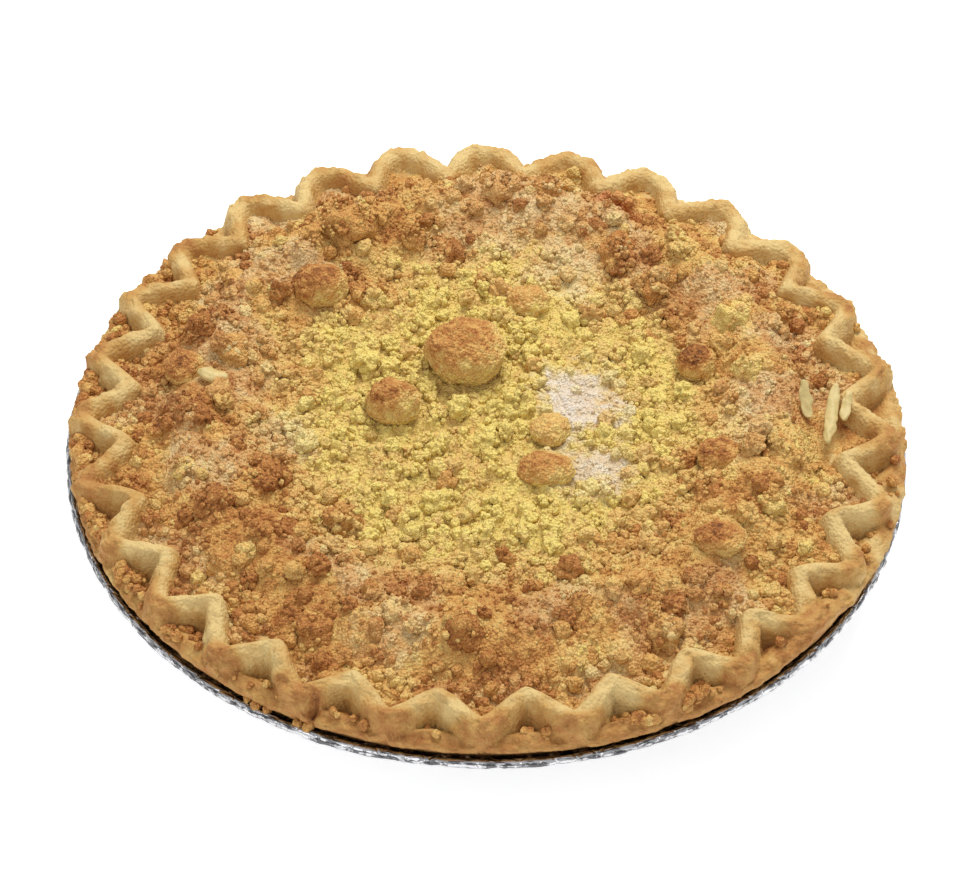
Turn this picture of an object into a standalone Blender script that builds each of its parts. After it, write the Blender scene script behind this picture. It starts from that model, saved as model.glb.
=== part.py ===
"""A crumb-topped apple pie with a pinched zigzag rim, baked in its foil tin.

Metres, +Z up. The tin's underside lies on z = 0 and its axis is the Z axis. The front is -Y.
Angles run from +X towards +Y.
"""

import math
import random

import bmesh
import bpy
from mathutils import Matrix, Vector, noise

PIE = "crumb_apple_pie"
CLEARANCE = 0.0003
CUT_CLEARANCE = 0.00036
MERGE_DISTANCE = 0.00001

# Foil tin
TIN_SIDES = 60
FOIL = 0.0004
TIN_BASE_RADIUS = 0.0925
TIN_MOUTH_RADIUS = 0.1108
TIN_CORNER = 0.0016
FLANGE_TOP = 0.0304
BEAD_CENTRE = 0.1219
BEAD_RADIUS = 0.0016
BEAD_POINTS = 7

# Pastry shell, which lines the tin
DOUGH = 0.0042
SHELL_TOP = 0.0335

# Pinched rim
CRIMPS = 28
STEPS_PER_CRIMP = 6
CRIMP_START = math.radians(6.9)
CRIMP_LEAN = math.radians(2.6)
CRIMP_LEAN_SIDE = math.radians(170)
CRIMP_TUG = math.radians(2.4)
CRIMP_TUG_SIDE = math.radians(350)
TIP_RADIUS = 0.1045
TIP_RADIUS_FRONT = 0.0048
FRONT_SIDE = math.radians(275)
BACK_SIDE = math.radians(85)
BEND_RADIUS = 0.1183
RIDGE_FOOT = 0.0043
RIDGE_SHOULDER = 0.0030
RIDGE_CROWN = 0.0011
TIP_CREST = 0.0442
BEND_CREST = 0.0424
SHOULDER_DROP = 0.0024
POCKET_FLOOR = 0.0371
LIP_RADIUS = 0.1210
LIP_RADIUS_RIGHT = 0.0012
LIP_TOP = 0.0362
LIP_FOOT_RADIUS = 0.1195
HAND_PINCH = 0.0007
LIP_TUCK_BACK = 0.0040
BEND_BREADTH_BACK = 1.1
LOBE_ANGLE = math.radians(320)
LOBE_SPREAD = math.radians(5.5)
LOBE_RISE = 0.0040
RIM_SEED = 5

# Crack in the outer face of the rim, front left
CRACK_ANGLE = math.radians(248)
CRACK_SIZE = (0.0050, 0.0009, 0.0050)

# Apple filling
FILLING_RADII = (0.0, 0.055, 0.085, 0.1045)
FILLING_TOPS = (0.0325, 0.0322, 0.0315, 0.0304)
BUBBLE_ANGLE = math.radians(64)
BUBBLE_RADIUS = 0.0955
BUBBLE_HEIGHT = 0.0375
BUBBLE_SIZE = (0.0020, 0.0068, 0.0062)
BUBBLE_SLANT = math.radians(-27)
SPLIT_SIZE = (0.0026, 0.0080, 0.0120)

# Crumb topping
CORE_SIDES = 56
CENTRE_TOP = 0.0392
RING_FOOT = 0.0600
RING_CREST = 0.0850
RING_CREST_BACK = 0.0070
CREST_TOP = 0.0456
CREST_TOP_BACK = 0.0020
TOPPING_REACH = 0.0986
TOPPING_EDGE_TOP = 0.0384
TOPPING_EDGE_BACK = 0.0050
TOPPING_TRIANGLES = 2900
MOUNDS = 18
MOUND_SEED = 11
MOUND_RISE = (0.0006, 0.0030)
MOUND_SPREAD = (0.0065, 0.0105)
CRUMB_SEED = 26
SMALL_CRUMBS = 100
SMALL_CRUMB_RADIUS = (0.0023, 0.0039)
LARGE_CRUMBS = 24
LARGE_CRUMB_RADIUS = (0.0042, 0.0062)
POCKET_CRUMB_RADIUS = (0.0026, 0.0036)
GOLDEN_ANGLE = math.pi * (3 - math.sqrt(5))

# Large lumps of crumb: x, y, width, depth, height, top above the crumbs, turn in degrees
LUMPS = {
    "ball": (-0.0062, 0.0200, 0.0240, 0.0230, 0.0195, 0.0150, 0),
    "pear": (-0.0277, -0.0005, 0.0165, 0.0145, 0.0155, 0.0115, 20),
    "back_left": (-0.0512, 0.0490, 0.0185, 0.0155, 0.0140, 0.0085, 15),
    "golden": (0.0119, 0.0473, 0.0145, 0.0115, 0.0095, 0.0055, 0),
    "yellow": (0.0186, -0.0074, 0.0130, 0.0120, 0.0085, 0.0055, 0),
    "browned": (0.0168, -0.0244, 0.0180, 0.0135, 0.0095, 0.0060, -10),
    "dark": (0.0619, 0.0198, 0.0135, 0.0115, 0.0110, 0.0075, 0),
    "right": (0.0669, -0.0184, 0.0150, 0.0125, 0.0090, 0.0055, -15),
    "long": (0.0656, -0.0540, 0.0170, 0.0105, 0.0085, 0.0050, 25),
    "brown_left": (-0.0890, 0.0115, 0.0140, 0.0120, 0.0095, 0.0055, 60),
}

# Lumps baked into the crumbs around them: x, y, radius
FUSED_LUMPS = (
    (0.0096, 0.0047, 0.0068),
    (0.0504, 0.0527, 0.0060),
    (0.0645, -0.0325, 0.0054),
    (-0.0401, -0.0445, 0.0060),
    (-0.0613, -0.0281, 0.0054),
    (-0.0835, 0.0285, 0.0062),
    (-0.0440, 0.0740, 0.0105),
)
LUMP_UNEVENNESS = 0.16
LUMP_GRAIN = 1.7

# Pale slivers of apple: x, y, length, width, thickness, top above the crumbs, turn, pitch in degrees
SLIVERS = {
    "upright": (0.0925, 0.0005, 0.0115, 0.0038, 0.0018, 0.0034, 97, -32),
    "long": (0.1000, -0.0030, 0.0220, 0.0040, 0.0020, 0.0054, 80, -9),
    "short": (0.1045, 0.0000, 0.0112, 0.0032, 0.0018, 0.0058, 80, -12),
    "wedge": (-0.0800, 0.0060, 0.0095, 0.0055, 0.0030, 0.0016, -15, 6),
}


def clear_scene():
    for item in list(bpy.data.objects):
        bpy.data.objects.remove(item, do_unlink=True)


def new_collection(name):
    group = bpy.data.collections.new(name)
    bpy.context.scene.collection.children.link(group)
    return group


def new_material(name, colour, roughness, metallic=0.0):
    finish = bpy.data.materials.new(name)
    finish.use_nodes = True
    finish.diffuse_color = (*colour, 1.0)
    shader = finish.node_tree.nodes["Principled BSDF"]
    shader.inputs["Base Color"].default_value = (*colour, 1.0)
    shader.inputs["Roughness"].default_value = roughness
    shader.inputs["Metallic"].default_value = metallic
    return finish


def new_object(name, mesh, group, finish):
    item = bpy.data.objects.new(name, mesh)
    group.objects.link(item)
    if finish is not None:
        mesh.materials.clear()
        mesh.materials.append(finish)
    return item


def mesh_from(build, name):
    """Run one bmesh builder and return its mesh."""
    form = bmesh.new()
    build(form)
    mesh = bpy.data.meshes.new(name)
    form.to_mesh(mesh)
    form.free()
    return mesh


def turned(name, profile, sides, group, finish):
    """Turn a profile of (radius, height) points about Z. Its outer side is listed downwards."""
    mesh = bpy.data.meshes.new(name)
    points = [(radius, 0.0, height) for radius, height in profile]
    mesh.from_pydata(points, [(i, i + 1) for i in range(len(points) - 1)], [])
    item = new_object(name, mesh, group, finish)
    screw = item.modifiers.new("Turn", "SCREW")
    screw.steps = sides
    screw.render_steps = sides
    screw.use_merge_vertices = True
    screw.merge_threshold = MERGE_DISTANCE
    return item


def apply_modifiers(item):
    evaluated = item.evaluated_get(bpy.context.evaluated_depsgraph_get())
    mesh = bpy.data.meshes.new_from_object(evaluated)
    item.modifiers.clear()
    item.data = mesh


def combine(item, operation, pieces):
    """Unite an object with a collection of pieces, or cut them from it, then remove them."""
    group = new_collection(item.name + "_" + operation.lower())
    for piece in pieces:
        for owner in list(piece.users_collection):
            owner.objects.unlink(piece)
        group.objects.link(piece)
    cut = item.modifiers.new("Combine", "BOOLEAN")
    cut.operation = operation
    cut.operand_type = "COLLECTION"
    cut.collection = group
    cut.solver = "EXACT"
    apply_modifiers(item)
    for piece in pieces:
        bpy.data.objects.remove(piece, do_unlink=True)
    bpy.data.collections.remove(group)


def keep_largest_body(item):
    """Drop loose scraps and the walls of sealed hollows."""
    form = bmesh.new()
    form.from_mesh(item.data)
    bmesh.ops.remove_doubles(form, verts=form.verts, dist=MERGE_DISTANCE)
    unseen = set(form.verts)
    bodies = []
    while unseen:
        body = set()
        waiting = [unseen.pop()]
        while waiting:
            vertex = waiting.pop()
            body.add(vertex)
            for edge in vertex.link_edges:
                other = edge.other_vert(vertex)
                if other in unseen:
                    unseen.remove(other)
                    waiting.append(other)
        bodies.append(body)
    largest = max(bodies, key=len)
    scraps = [vertex for body in bodies if body is not largest for vertex in body]
    bmesh.ops.delete(form, geom=scraps, context="VERTS")
    form.to_mesh(item.data)
    form.free()


def thin_out(item, triangles):
    """Merge the smallest faces until about this many triangles are left."""
    item.data.calc_loop_triangles()
    decimate = item.modifiers.new("Thin out", "DECIMATE")
    decimate.ratio = min(1.0, triangles / len(item.data.loop_triangles))
    apply_modifiers(item)


def grown(item, distance, group):
    """A copy of an object with its faces pushed outwards, used as a cutter."""
    def push(form):
        form.from_mesh(item.data)
        form.normal_update()
        for vertex, way in [(vertex, vertex.normal.copy()) for vertex in form.verts]:
            vertex.co += way * distance * max(1.0, vertex.calc_shell_factor())

    return new_object(item.name + "_cutter", mesh_from(push, item.name + "_cutter"), group, None)


def smoothstep(low, high, value):
    share = min(max((value - low) / (high - low), 0.0), 1.0)
    return share * share * (3 - 2 * share)


def nearness(angle, centre, spread):
    gap = math.remainder(angle - centre, math.tau)
    return math.exp(-(gap / spread) ** 2)


def polar(radius, angle, height):
    return Vector((radius * math.cos(angle), radius * math.sin(angle), height))


# Foil tin

def make_tin(group):
    finish = new_material("foil", (0.62, 0.62, 0.64), 0.28, 1.0)
    wall_run = TIN_MOUTH_RADIUS - TIN_BASE_RADIUS
    wall_rise = FLANGE_TOP - TIN_CORNER
    side_foil = FOIL * math.hypot(wall_run, wall_rise) / wall_rise
    profile = [
        (0.0, FOIL),
        (TIN_BASE_RADIUS - TIN_CORNER, FOIL),
        (TIN_BASE_RADIUS, TIN_CORNER),
        (TIN_MOUTH_RADIUS, FLANGE_TOP),
    ]
    opening = math.asin(FOIL / 2 / BEAD_RADIUS)
    sweep = math.tau - 2 * opening
    for i in range(BEAD_POINTS):
        turn = math.pi - opening - sweep * i / (BEAD_POINTS - 1)
        height = FLANGE_TOP - FOIL / 2 + BEAD_RADIUS * math.sin(turn)
        profile.append((BEAD_CENTRE + BEAD_RADIUS * math.cos(turn), height))
    profile += [
        (TIN_MOUTH_RADIUS + side_foil, FLANGE_TOP - FOIL),
        (TIN_BASE_RADIUS + side_foil, TIN_CORNER - FOIL / 2),
        (TIN_BASE_RADIUS - TIN_CORNER + side_foil, 0.0),
        (0.0, 0.0),
    ]
    tin = turned("foil_tin", profile, TIN_SIDES, group, finish)
    apply_modifiers(tin)
    tin.data.shade_smooth()
    tin.data.set_sharp_from_angle(angle=math.radians(50))
    return tin


# Pastry

def crimp_angle(step):
    """The angle of a place along the rim, counted in crimps; whole numbers are inward tips."""
    even = CRIMP_START + math.tau * step / CRIMPS
    lean = CRIMP_LEAN * math.cos(even - CRIMP_LEAN_SIDE)
    tug = CRIMP_TUG * max(0.0, math.cos(even - CRIMP_TUG_SIDE)) ** 4
    return even + lean - tug


def hand_pinches():
    """Small differences between the crimps: radius and height, one pair for each half crimp."""
    draw = random.Random(RIM_SEED)
    return [(draw.uniform(-1, 1), draw.uniform(-1, 1)) for _ in range(2 * CRIMPS)]


def tip_radius(angle):
    """Radius of the ridge at its inward tips, larger at the front."""
    return TIP_RADIUS + TIP_RADIUS_FRONT * max(0.0, math.cos(angle - FRONT_SIDE)) ** 1.5


def rim_inside(angle):
    """Radius of the pastry's inner face, just inside the tips."""
    return tip_radius(angle) - RIDGE_FOOT - HAND_PINCH


def backness(angle):
    """How far round to the back an angle is, where the topping is heaped up to the pastry."""
    return max(0.0, math.cos(angle - BACK_SIDE)) ** 2


def rim_section(step, pinches, room=0.0):
    """The rim's closed outline at one place, as (radius, height) from its inner bottom corner.

    Room widens it on its inner and upper sides, for a cutter.
    """
    angle = crimp_angle(step)
    place = (2 * step) % (2 * CRIMPS)
    low = int(place)
    share = place - low
    after = pinches[(low + 1) % len(pinches)]
    pull = HAND_PINCH * (pinches[low][0] * (1 - share) + after[0] * share)
    lift = HAND_PINCH * (pinches[low][1] * (1 - share) + after[1] * share)

    bend = 2 * abs((step + 0.5) % 1 - 0.5)
    bend = 1 - (1 - bend) ** (1 + BEND_BREADTH_BACK * backness(angle))
    tip = tip_radius(angle)
    ridge = tip + (BEND_RADIUS - tip) * bend + pull
    crest = TIP_CREST + (BEND_CREST - TIP_CREST) * bend + lift
    lobe = nearness(angle, LOBE_ANGLE, LOBE_SPREAD)
    crest -= 0.4 * LOBE_RISE * lobe
    outer_floor = POCKET_FLOOR + LOBE_RISE * lobe
    lip = LIP_RADIUS + LIP_RADIUS_RIGHT * max(0.0, math.cos(angle))
    lip = max(lip - LIP_TUCK_BACK * backness(angle), ridge + 0.0024)

    inward = 1.5 * room
    outer_shoulder = min(ridge + RIDGE_SHOULDER, lip - 0.0006)
    outer_foot = min(ridge + RIDGE_FOOT, lip - 0.0002)
    lip_edge = max(lip - 0.0018, outer_foot + 0.0001)
    return angle, [
        (rim_inside(angle) - room, FLANGE_TOP + 0.0008),
        (rim_inside(angle) - room, POCKET_FLOOR - 0.0008 + room),
        (ridge - RIDGE_FOOT - inward, POCKET_FLOOR + 0.0002 + room),
        (ridge - RIDGE_SHOULDER - inward, crest - SHOULDER_DROP + room),
        (ridge - RIDGE_CROWN - room, crest + room),
        (ridge + RIDGE_CROWN * 0.6, crest + room),
        (outer_shoulder, crest - SHOULDER_DROP),
        (outer_foot, outer_floor),
        (lip_edge, outer_floor - 0.0004),
        (lip, LIP_TOP + 0.6 * (outer_floor - POCKET_FLOOR)),
        (min(LIP_FOOT_RADIUS, lip - 0.0004), FLANGE_TOP + CLEARANCE),
    ]


def build_rim(form, room=0.0):
    """Loft the rim's sections round the pie."""
    pinches = hand_pinches()
    rings = []
    for i in range(CRIMPS * STEPS_PER_CRIMP):
        angle, outline = rim_section(i / STEPS_PER_CRIMP, pinches, room)
        rings.append([form.verts.new(polar(radius, angle, height)) for radius, height in outline])
    for ring, after in zip(rings, rings[1:] + rings[:1]):
        for j in range(len(ring)):
            k = (j + 1) % len(ring)
            form.faces.new((ring[j], ring[k], after[k], after[j]))
    bmesh.ops.recalc_face_normals(form, faces=form.faces)


def shell_wall(gap):
    """Radii at the foot and top of the tin's inner wall, moved in by a gap."""
    return TIN_BASE_RADIUS - gap, TIN_MOUTH_RADIUS - gap


def wall_radius(height, gap):
    """Radius of the tin's inner wall at a height, moved in by a gap."""
    foot, mouth = shell_wall(gap)
    return foot + (mouth - foot) * (height - TIN_CORNER) / (FLANGE_TOP - TIN_CORNER)


def make_crust(group):
    finish = new_material("crust", (0.62, 0.40, 0.16), 0.75)
    floor = FOIL + CLEARANCE
    outer = 1.3 * CLEARANCE
    inner = 1.3 * CLEARANCE + 1.15 * DOUGH
    profile = [
        (0.0, floor + DOUGH),
        (wall_radius(floor + DOUGH, inner), floor + DOUGH),
        (wall_radius(SHELL_TOP, inner), SHELL_TOP),
        (wall_radius(FLANGE_TOP + 0.0015, outer), FLANGE_TOP + 0.0028),
        (wall_radius(FLANGE_TOP, outer), FLANGE_TOP + CLEARANCE),
        (TIN_BASE_RADIUS - outer, TIN_CORNER + CLEARANCE),
        (TIN_BASE_RADIUS - TIN_CORNER - CLEARANCE, floor),
        (0.0, floor),
    ]
    crust = turned("pastry_crust", profile, TIN_SIDES, group, finish)
    apply_modifiers(crust)
    rim = new_object("rim", mesh_from(build_rim, "rim"), group, finish)
    combine(crust, "UNION", [rim])

    def build_crack(form):
        bmesh.ops.create_cube(form, size=1.0)
        bmesh.ops.scale(form, vec=CRACK_SIZE, verts=form.verts)
        place = Matrix.Translation(polar(LIP_RADIUS, CRACK_ANGLE, LIP_TOP - 0.0008))
        bmesh.ops.transform(form, matrix=place @ Matrix.Rotation(CRACK_ANGLE, 4, "Z"), verts=form.verts)

    crack = new_object("crack", mesh_from(build_crack, "crack"), group, None)
    combine(crust, "DIFFERENCE", [crack])
    keep_largest_body(crust)
    crust.data.shade_smooth()
    crust.data.set_sharp_from_angle(angle=math.radians(60))
    return crust


# Filling

def bubble_oval(name, half_sizes, rise, group):
    """The bubble of juice at the split, or a cutter round it."""
    place = polar(BUBBLE_RADIUS, BUBBLE_ANGLE, BUBBLE_HEIGHT + rise)
    lay = Matrix.Translation(place) @ Matrix.Rotation(BUBBLE_ANGLE + BUBBLE_SLANT, 4, "Z")

    def build(form):
        bmesh.ops.create_icosphere(form, subdivisions=2, radius=1.0)
        bmesh.ops.scale(form, vec=half_sizes, verts=form.verts)
        bmesh.ops.transform(form, matrix=lay, verts=form.verts)

    return new_object(name, mesh_from(build, name), group, None)


def make_filling(group):
    finish = new_material("filling", (0.30, 0.055, 0.030), 0.35)
    gap = 2.5 * CLEARANCE + 1.15 * DOUGH
    floor = FOIL + 2 * CLEARANCE + DOUGH
    profile = list(zip(FILLING_RADII, FILLING_TOPS))
    profile += [
        (wall_radius(floor, gap), floor),
        (0.0, floor),
    ]
    filling = turned("apple_filling", profile, TIN_SIDES, group, finish)
    apply_modifiers(filling)
    combine(filling, "UNION", [bubble_oval("bubble", BUBBLE_SIZE, 0.0, group)])
    keep_largest_body(filling)
    filling.data.shade_smooth()
    filling.data.set_sharp_from_angle(angle=math.radians(50))
    return filling


# Crumb topping

def ring_crest(angle):
    """Radius of the raised ring's crest."""
    return RING_CREST + RING_CREST_BACK * backness(angle)


def ring_mounds():
    """The humps of the raised ring: centre, spread and rise."""
    draw = random.Random(MOUND_SEED)
    mounds = []
    for i in range(MOUNDS):
        angle = math.tau * (i + draw.uniform(-0.3, 0.3)) / MOUNDS
        radius = ring_crest(angle) + draw.uniform(-0.005, 0.003)
        mounds.append((polar(radius, angle, 0), draw.uniform(*MOUND_SPREAD), draw.uniform(*MOUND_RISE)))
    return mounds


MOUND_LIST = ring_mounds()


def topping_top(x, y):
    """Height of the crumb surface: a sunken middle inside a raised, humped ring."""
    radius = math.hypot(x, y)
    angle = math.atan2(y, x)
    edge = rim_inside(angle)
    crest = CREST_TOP + CREST_TOP_BACK * math.cos(angle - BACK_SIDE)
    edge_top = TOPPING_EDGE_TOP + TOPPING_EDGE_BACK * backness(angle)
    height = CENTRE_TOP
    height += (crest - CENTRE_TOP) * smoothstep(RING_FOOT, ring_crest(angle), radius)
    height -= (crest - edge_top) * smoothstep(ring_crest(angle), edge, radius)
    for centre, spread, rise in MOUND_LIST:
        away = math.hypot(x - centre.x, y - centre.y) / spread
        height += rise * math.exp(-away * away)
    edge_fade = 1 - smoothstep(edge - 0.007, edge, radius)
    wave = noise.noise(Vector((x * 95, y * 95, 0.5)))
    return height + 0.0008 * wave * edge_fade


def make_core(group, finish):
    """The bare topping: turned, then drawn out to the pastry and pushed up into humps."""
    radii = (0.0, 0.018, 0.036, 0.052, 0.062, 0.070, 0.078, 0.086, 0.093, TOPPING_REACH)
    below_filling = FILLING_TOPS[-1] - 0.0010
    profile = [(radius, CENTRE_TOP) for radius in radii]
    profile += [(TOPPING_REACH, below_filling), (0.0, below_filling)]
    core = turned("crumb_topping", profile, CORE_SIDES, group, finish)
    apply_modifiers(core)
    for vertex in core.data.vertices:
        angle = math.atan2(vertex.co.y, vertex.co.x)
        stretch = (rim_inside(angle) - CUT_CLEARANCE) / TOPPING_REACH
        vertex.co.x *= stretch
        vertex.co.y *= stretch
        if abs(vertex.co.z - CENTRE_TOP) < MERGE_DISTANCE:
            vertex.co.z = topping_top(vertex.co.x, vertex.co.y)
    return core


def build_crumb(radius, detail, seed, stretch=(1.0, 1.0, 1.0), unevenness=LUMP_UNEVENNESS):
    """A builder for one uneven lump of crumb round the origin."""
    def build(form):
        bmesh.ops.create_icosphere(form, subdivisions=detail, radius=1.0)
        for vertex in form.verts:
            swell = noise.noise(vertex.co * LUMP_GRAIN + Vector((seed * 7.3, seed * 3.1, seed)))
            vertex.co *= radius * (1 + unevenness * swell)
        bmesh.ops.scale(form, vec=stretch, verts=form.verts)

    return build


def lump_size(name):
    x, y, width, depth, height, rise, turn = LUMPS[name]
    middle = topping_top(x, y) + rise - height / 2
    return Vector((x, y, middle)), Vector((width, depth, height)) / 2, math.radians(turn)


def make_lumps(group):
    finish = new_material("crumb_lump", (0.60, 0.36, 0.13), 0.85)
    lumps = []
    for seed, name in enumerate(LUMPS):
        place, half, turn = lump_size(name)
        detail = 3 if half.x > 0.011 else 2
        mesh = mesh_from(build_crumb(1.0, detail, seed + 1, half), "lump_" + name)
        mesh.transform(Matrix.Rotation(turn, 4, "Z"))
        mesh.transform(Matrix.Translation(place))
        lumps.append(new_object("lump_" + name, mesh, group, finish))
        mesh.shade_smooth()
    return lumps


def make_slivers(group):
    finish = new_material("apple_sliver", (0.78, 0.66, 0.36), 0.55)
    slivers = []
    for name, (x, y, length, width, thickness, rise, turn, pitch) in SLIVERS.items():
        def build(form):
            bmesh.ops.create_uvsphere(form, u_segments=6, v_segments=5, radius=1.0)
            bmesh.ops.rotate(form, matrix=Matrix.Rotation(math.pi / 2, 3, "Y"), verts=form.verts)
            for vertex in form.verts:
                vertex.co.z += 0.5 * vertex.co.x ** 2
            bmesh.ops.scale(form, vec=(length / 2, width / 2, thickness / 2), verts=form.verts)

        mesh = mesh_from(build, "sliver_" + name)
        lay = Matrix.Rotation(math.radians(turn), 4, "Z") @ Matrix.Rotation(math.radians(pitch), 4, "Y")
        mesh.transform(Matrix.Translation((x, y, topping_top(x, y) + rise)) @ lay)
        slivers.append(new_object("sliver_" + name, mesh, group, finish))
        mesh.shade_smooth()
    return slivers


def blocked(place, radius):
    """Whether a fused crumb would cross a separate lump, a sliver or the split."""
    for name in LUMPS:
        centre, half, _ = lump_size(name)
        if math.hypot(place.x - centre.x, place.y - centre.y) < max(half.x, half.y) + 0.75 * radius:
            return True
    for x, y, length, *_ in SLIVERS.values():
        if math.hypot(place.x - x, place.y - y) < 0.5 * length + 0.5 * radius:
            return True
    split = polar(BUBBLE_RADIUS, BUBBLE_ANGLE, 0)
    return math.hypot(place.x - split.x, place.y - split.y) < SPLIT_SIZE[1] + 0.5 * radius


def crumb_places():
    """Centres and radii of the fused crumbs: the large ones on the ring, the rest all over."""
    draw = random.Random(CRUMB_SEED)
    places = [(Vector((x, y, 0)), radius, 2) for x, y, radius in FUSED_LUMPS]
    for i in range(LARGE_CRUMBS):
        radius = draw.uniform(*LARGE_CRUMB_RADIUS)
        angle = math.tau * (i + draw.uniform(-0.3, 0.3)) / LARGE_CRUMBS
        away = rim_inside(angle) - draw.uniform(0.006, 0.024)
        places.append((polar(away, angle, 0), radius, 2))
    for i in range(SMALL_CRUMBS):
        radius = draw.uniform(*SMALL_CRUMB_RADIUS)
        angle = i * GOLDEN_ANGLE + draw.uniform(-0.05, 0.05)
        away = (rim_inside(angle) - 0.004) * math.sqrt((i + 0.5) / SMALL_CRUMBS)
        places.append((polar(away, angle, 0), radius, 1))
    for i in range(CRIMPS):
        radius = draw.uniform(*POCKET_CRUMB_RADIUS)
        angle = crimp_angle(i + 0.5 + draw.uniform(-0.12, 0.12))
        away = rim_inside(angle) + draw.uniform(-0.0005, 0.0020)
        places.append((polar(away, angle, 0), radius, 1))
    return places


def make_topping(group, filling, lumps, slivers):
    finish = new_material("crumb", (0.66, 0.46, 0.17), 0.9)
    core = make_core(group, finish)
    crumbs = []
    for seed, (place, radius, detail) in enumerate(crumb_places()):
        if blocked(place, radius):
            continue
        sink = 0.30 if detail == 2 else -0.15
        place.z = topping_top(place.x, place.y) - sink * radius
        stretch = (1.1, 0.95, 0.8)
        mesh = mesh_from(build_crumb(radius, detail, seed * 0.37, stretch), "crumb")
        mesh.transform(Matrix.Translation(place) @ Matrix.Rotation(seed * GOLDEN_ANGLE, 4, "Z"))
        crumbs.append(new_object("crumb", mesh, group, None))
    combine(core, "UNION", crumbs)
    keep_largest_body(core)
    thin_out(core, TOPPING_TRIANGLES)

    rim_cutter = mesh_from(lambda form: build_rim(form, CUT_CLEARANCE), "rim_cutter")
    cutters = [new_object("rim_cutter", rim_cutter, group, None)]
    cutters += [grown(piece, CUT_CLEARANCE, group) for piece in [filling] + lumps + slivers]
    cutters.append(bubble_oval("split", SPLIT_SIZE, 0.4 * SPLIT_SIZE[2], group))
    combine(core, "DIFFERENCE", cutters)
    keep_largest_body(core)
    core.data.shade_smooth()
    core.data.set_sharp_from_angle(angle=math.radians(50))
    return core


def main():
    clear_scene()
    group = new_collection(PIE)
    make_tin(group)
    make_crust(group)
    filling = make_filling(group)
    lumps = make_lumps(group)
    slivers = make_slivers(group)
    make_topping(group, filling, lumps, slivers)


if __name__ == "__main__":
    main()
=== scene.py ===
"""The looks of a crumb-topped apple pie in its foil dish: surfaces, finishes, light and camera."""
import math
import random

import bmesh
import bpy
import numpy as np
from bpy.props import FloatProperty, FloatVectorProperty, IntProperty, PointerProperty
from mathutils import Euler, Matrix, Vector, noise


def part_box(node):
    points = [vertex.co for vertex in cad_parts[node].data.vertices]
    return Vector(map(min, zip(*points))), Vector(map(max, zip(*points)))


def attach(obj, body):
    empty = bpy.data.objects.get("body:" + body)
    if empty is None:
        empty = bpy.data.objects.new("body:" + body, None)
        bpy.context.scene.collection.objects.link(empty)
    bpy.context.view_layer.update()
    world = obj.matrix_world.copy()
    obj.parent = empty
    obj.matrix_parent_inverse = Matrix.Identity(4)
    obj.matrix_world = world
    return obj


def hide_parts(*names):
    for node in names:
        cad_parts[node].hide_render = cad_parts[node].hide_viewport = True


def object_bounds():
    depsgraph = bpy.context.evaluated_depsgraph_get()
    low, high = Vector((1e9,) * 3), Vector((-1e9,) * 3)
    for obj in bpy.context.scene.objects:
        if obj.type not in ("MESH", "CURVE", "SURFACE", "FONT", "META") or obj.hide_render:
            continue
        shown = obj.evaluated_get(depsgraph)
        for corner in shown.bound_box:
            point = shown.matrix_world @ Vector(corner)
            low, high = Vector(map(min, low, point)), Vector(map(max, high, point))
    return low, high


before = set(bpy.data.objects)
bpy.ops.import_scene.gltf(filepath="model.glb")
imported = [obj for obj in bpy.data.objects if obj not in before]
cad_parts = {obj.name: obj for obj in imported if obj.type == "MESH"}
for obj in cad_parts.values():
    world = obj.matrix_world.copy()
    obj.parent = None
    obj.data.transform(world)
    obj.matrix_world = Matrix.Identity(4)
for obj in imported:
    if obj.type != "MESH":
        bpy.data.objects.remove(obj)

bl_info = {
    "name": "Crumb Apple Pie",
    "version": (1, 0, 0),
    "blender": (4, 5, 0),
    "location": "View3D > Sidebar > Pie",
    "description": "Builds the surfaces of a crumb-topped apple pie round its solid model",
    "category": "Add Mesh",
}

CAD_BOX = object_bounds()
LUMPS = [name for name in sorted(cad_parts) if name.startswith("lump_")]
SLIVERS = [name for name in sorted(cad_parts) if name.startswith("sliver_")]
SLIVER_BOXES = [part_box(name) for name in SLIVERS]

# The pie's construction, in metres, as in its solids
CLEARANCE = 0.0003
FOIL = 0.0004
TIN_BASE_RADIUS = 0.0925
TIN_MOUTH_RADIUS = 0.1108
TIN_CORNER = 0.0016
FLANGE_TOP = 0.0304
BEAD_CENTRE = 0.1219
BEAD_RADIUS = 0.0016
DOUGH = 0.0042
CRIMPS = 28
CRIMP_START = math.radians(6.9)
CRIMP_LEAN = math.radians(2.6)
CRIMP_LEAN_SIDE = math.radians(170)
CRIMP_TUG = math.radians(2.4)
CRIMP_TUG_SIDE = math.radians(350)
TIP_RADIUS = 0.1045
TIP_RADIUS_FRONT = 0.0048
FRONT_SIDE = math.radians(275)
BEND_RADIUS = 0.1183
RIDGE_FOOT = 0.0043
RIDGE_HALF_WIDTH = 0.0036
TIP_CREST = 0.0442
BEND_CREST = 0.0424
POCKET_FLOOR = 0.0371
LIP_RADIUS = 0.1210
LIP_RADIUS_RIGHT = 0.0012
LIP_FOOT_RADIUS = 0.1195
HAND_PINCH = 0.0007
LIP_TUCK_BACK = 0.0040
BEND_BREADTH_BACK = 1.1
CORNERS_PER_CRIMP = 10
POCKET_DIG = 0.0042
CRACK_ANGLE = math.radians(248)
RIM_INNER_POINTS = 22
RIM_OUTER_POINTS = 22
LOBE_ANGLE = math.radians(320)
LOBE_SPREAD = math.radians(5.5)
LOBE_RISE = 0.0040
RIM_SEED = 5
CENTRE_TOP = 0.0392
RING_FOOT = 0.0600
RING_CREST = 0.0850
RING_CREST_BACK = 0.0070
CREST_TOP = 0.0456
CREST_TOP_BACK = 0.0020
BACK_SIDE = math.radians(85)
TOPPING_EDGE_TOP = 0.0384
TOPPING_EDGE_BACK = 0.0050
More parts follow.
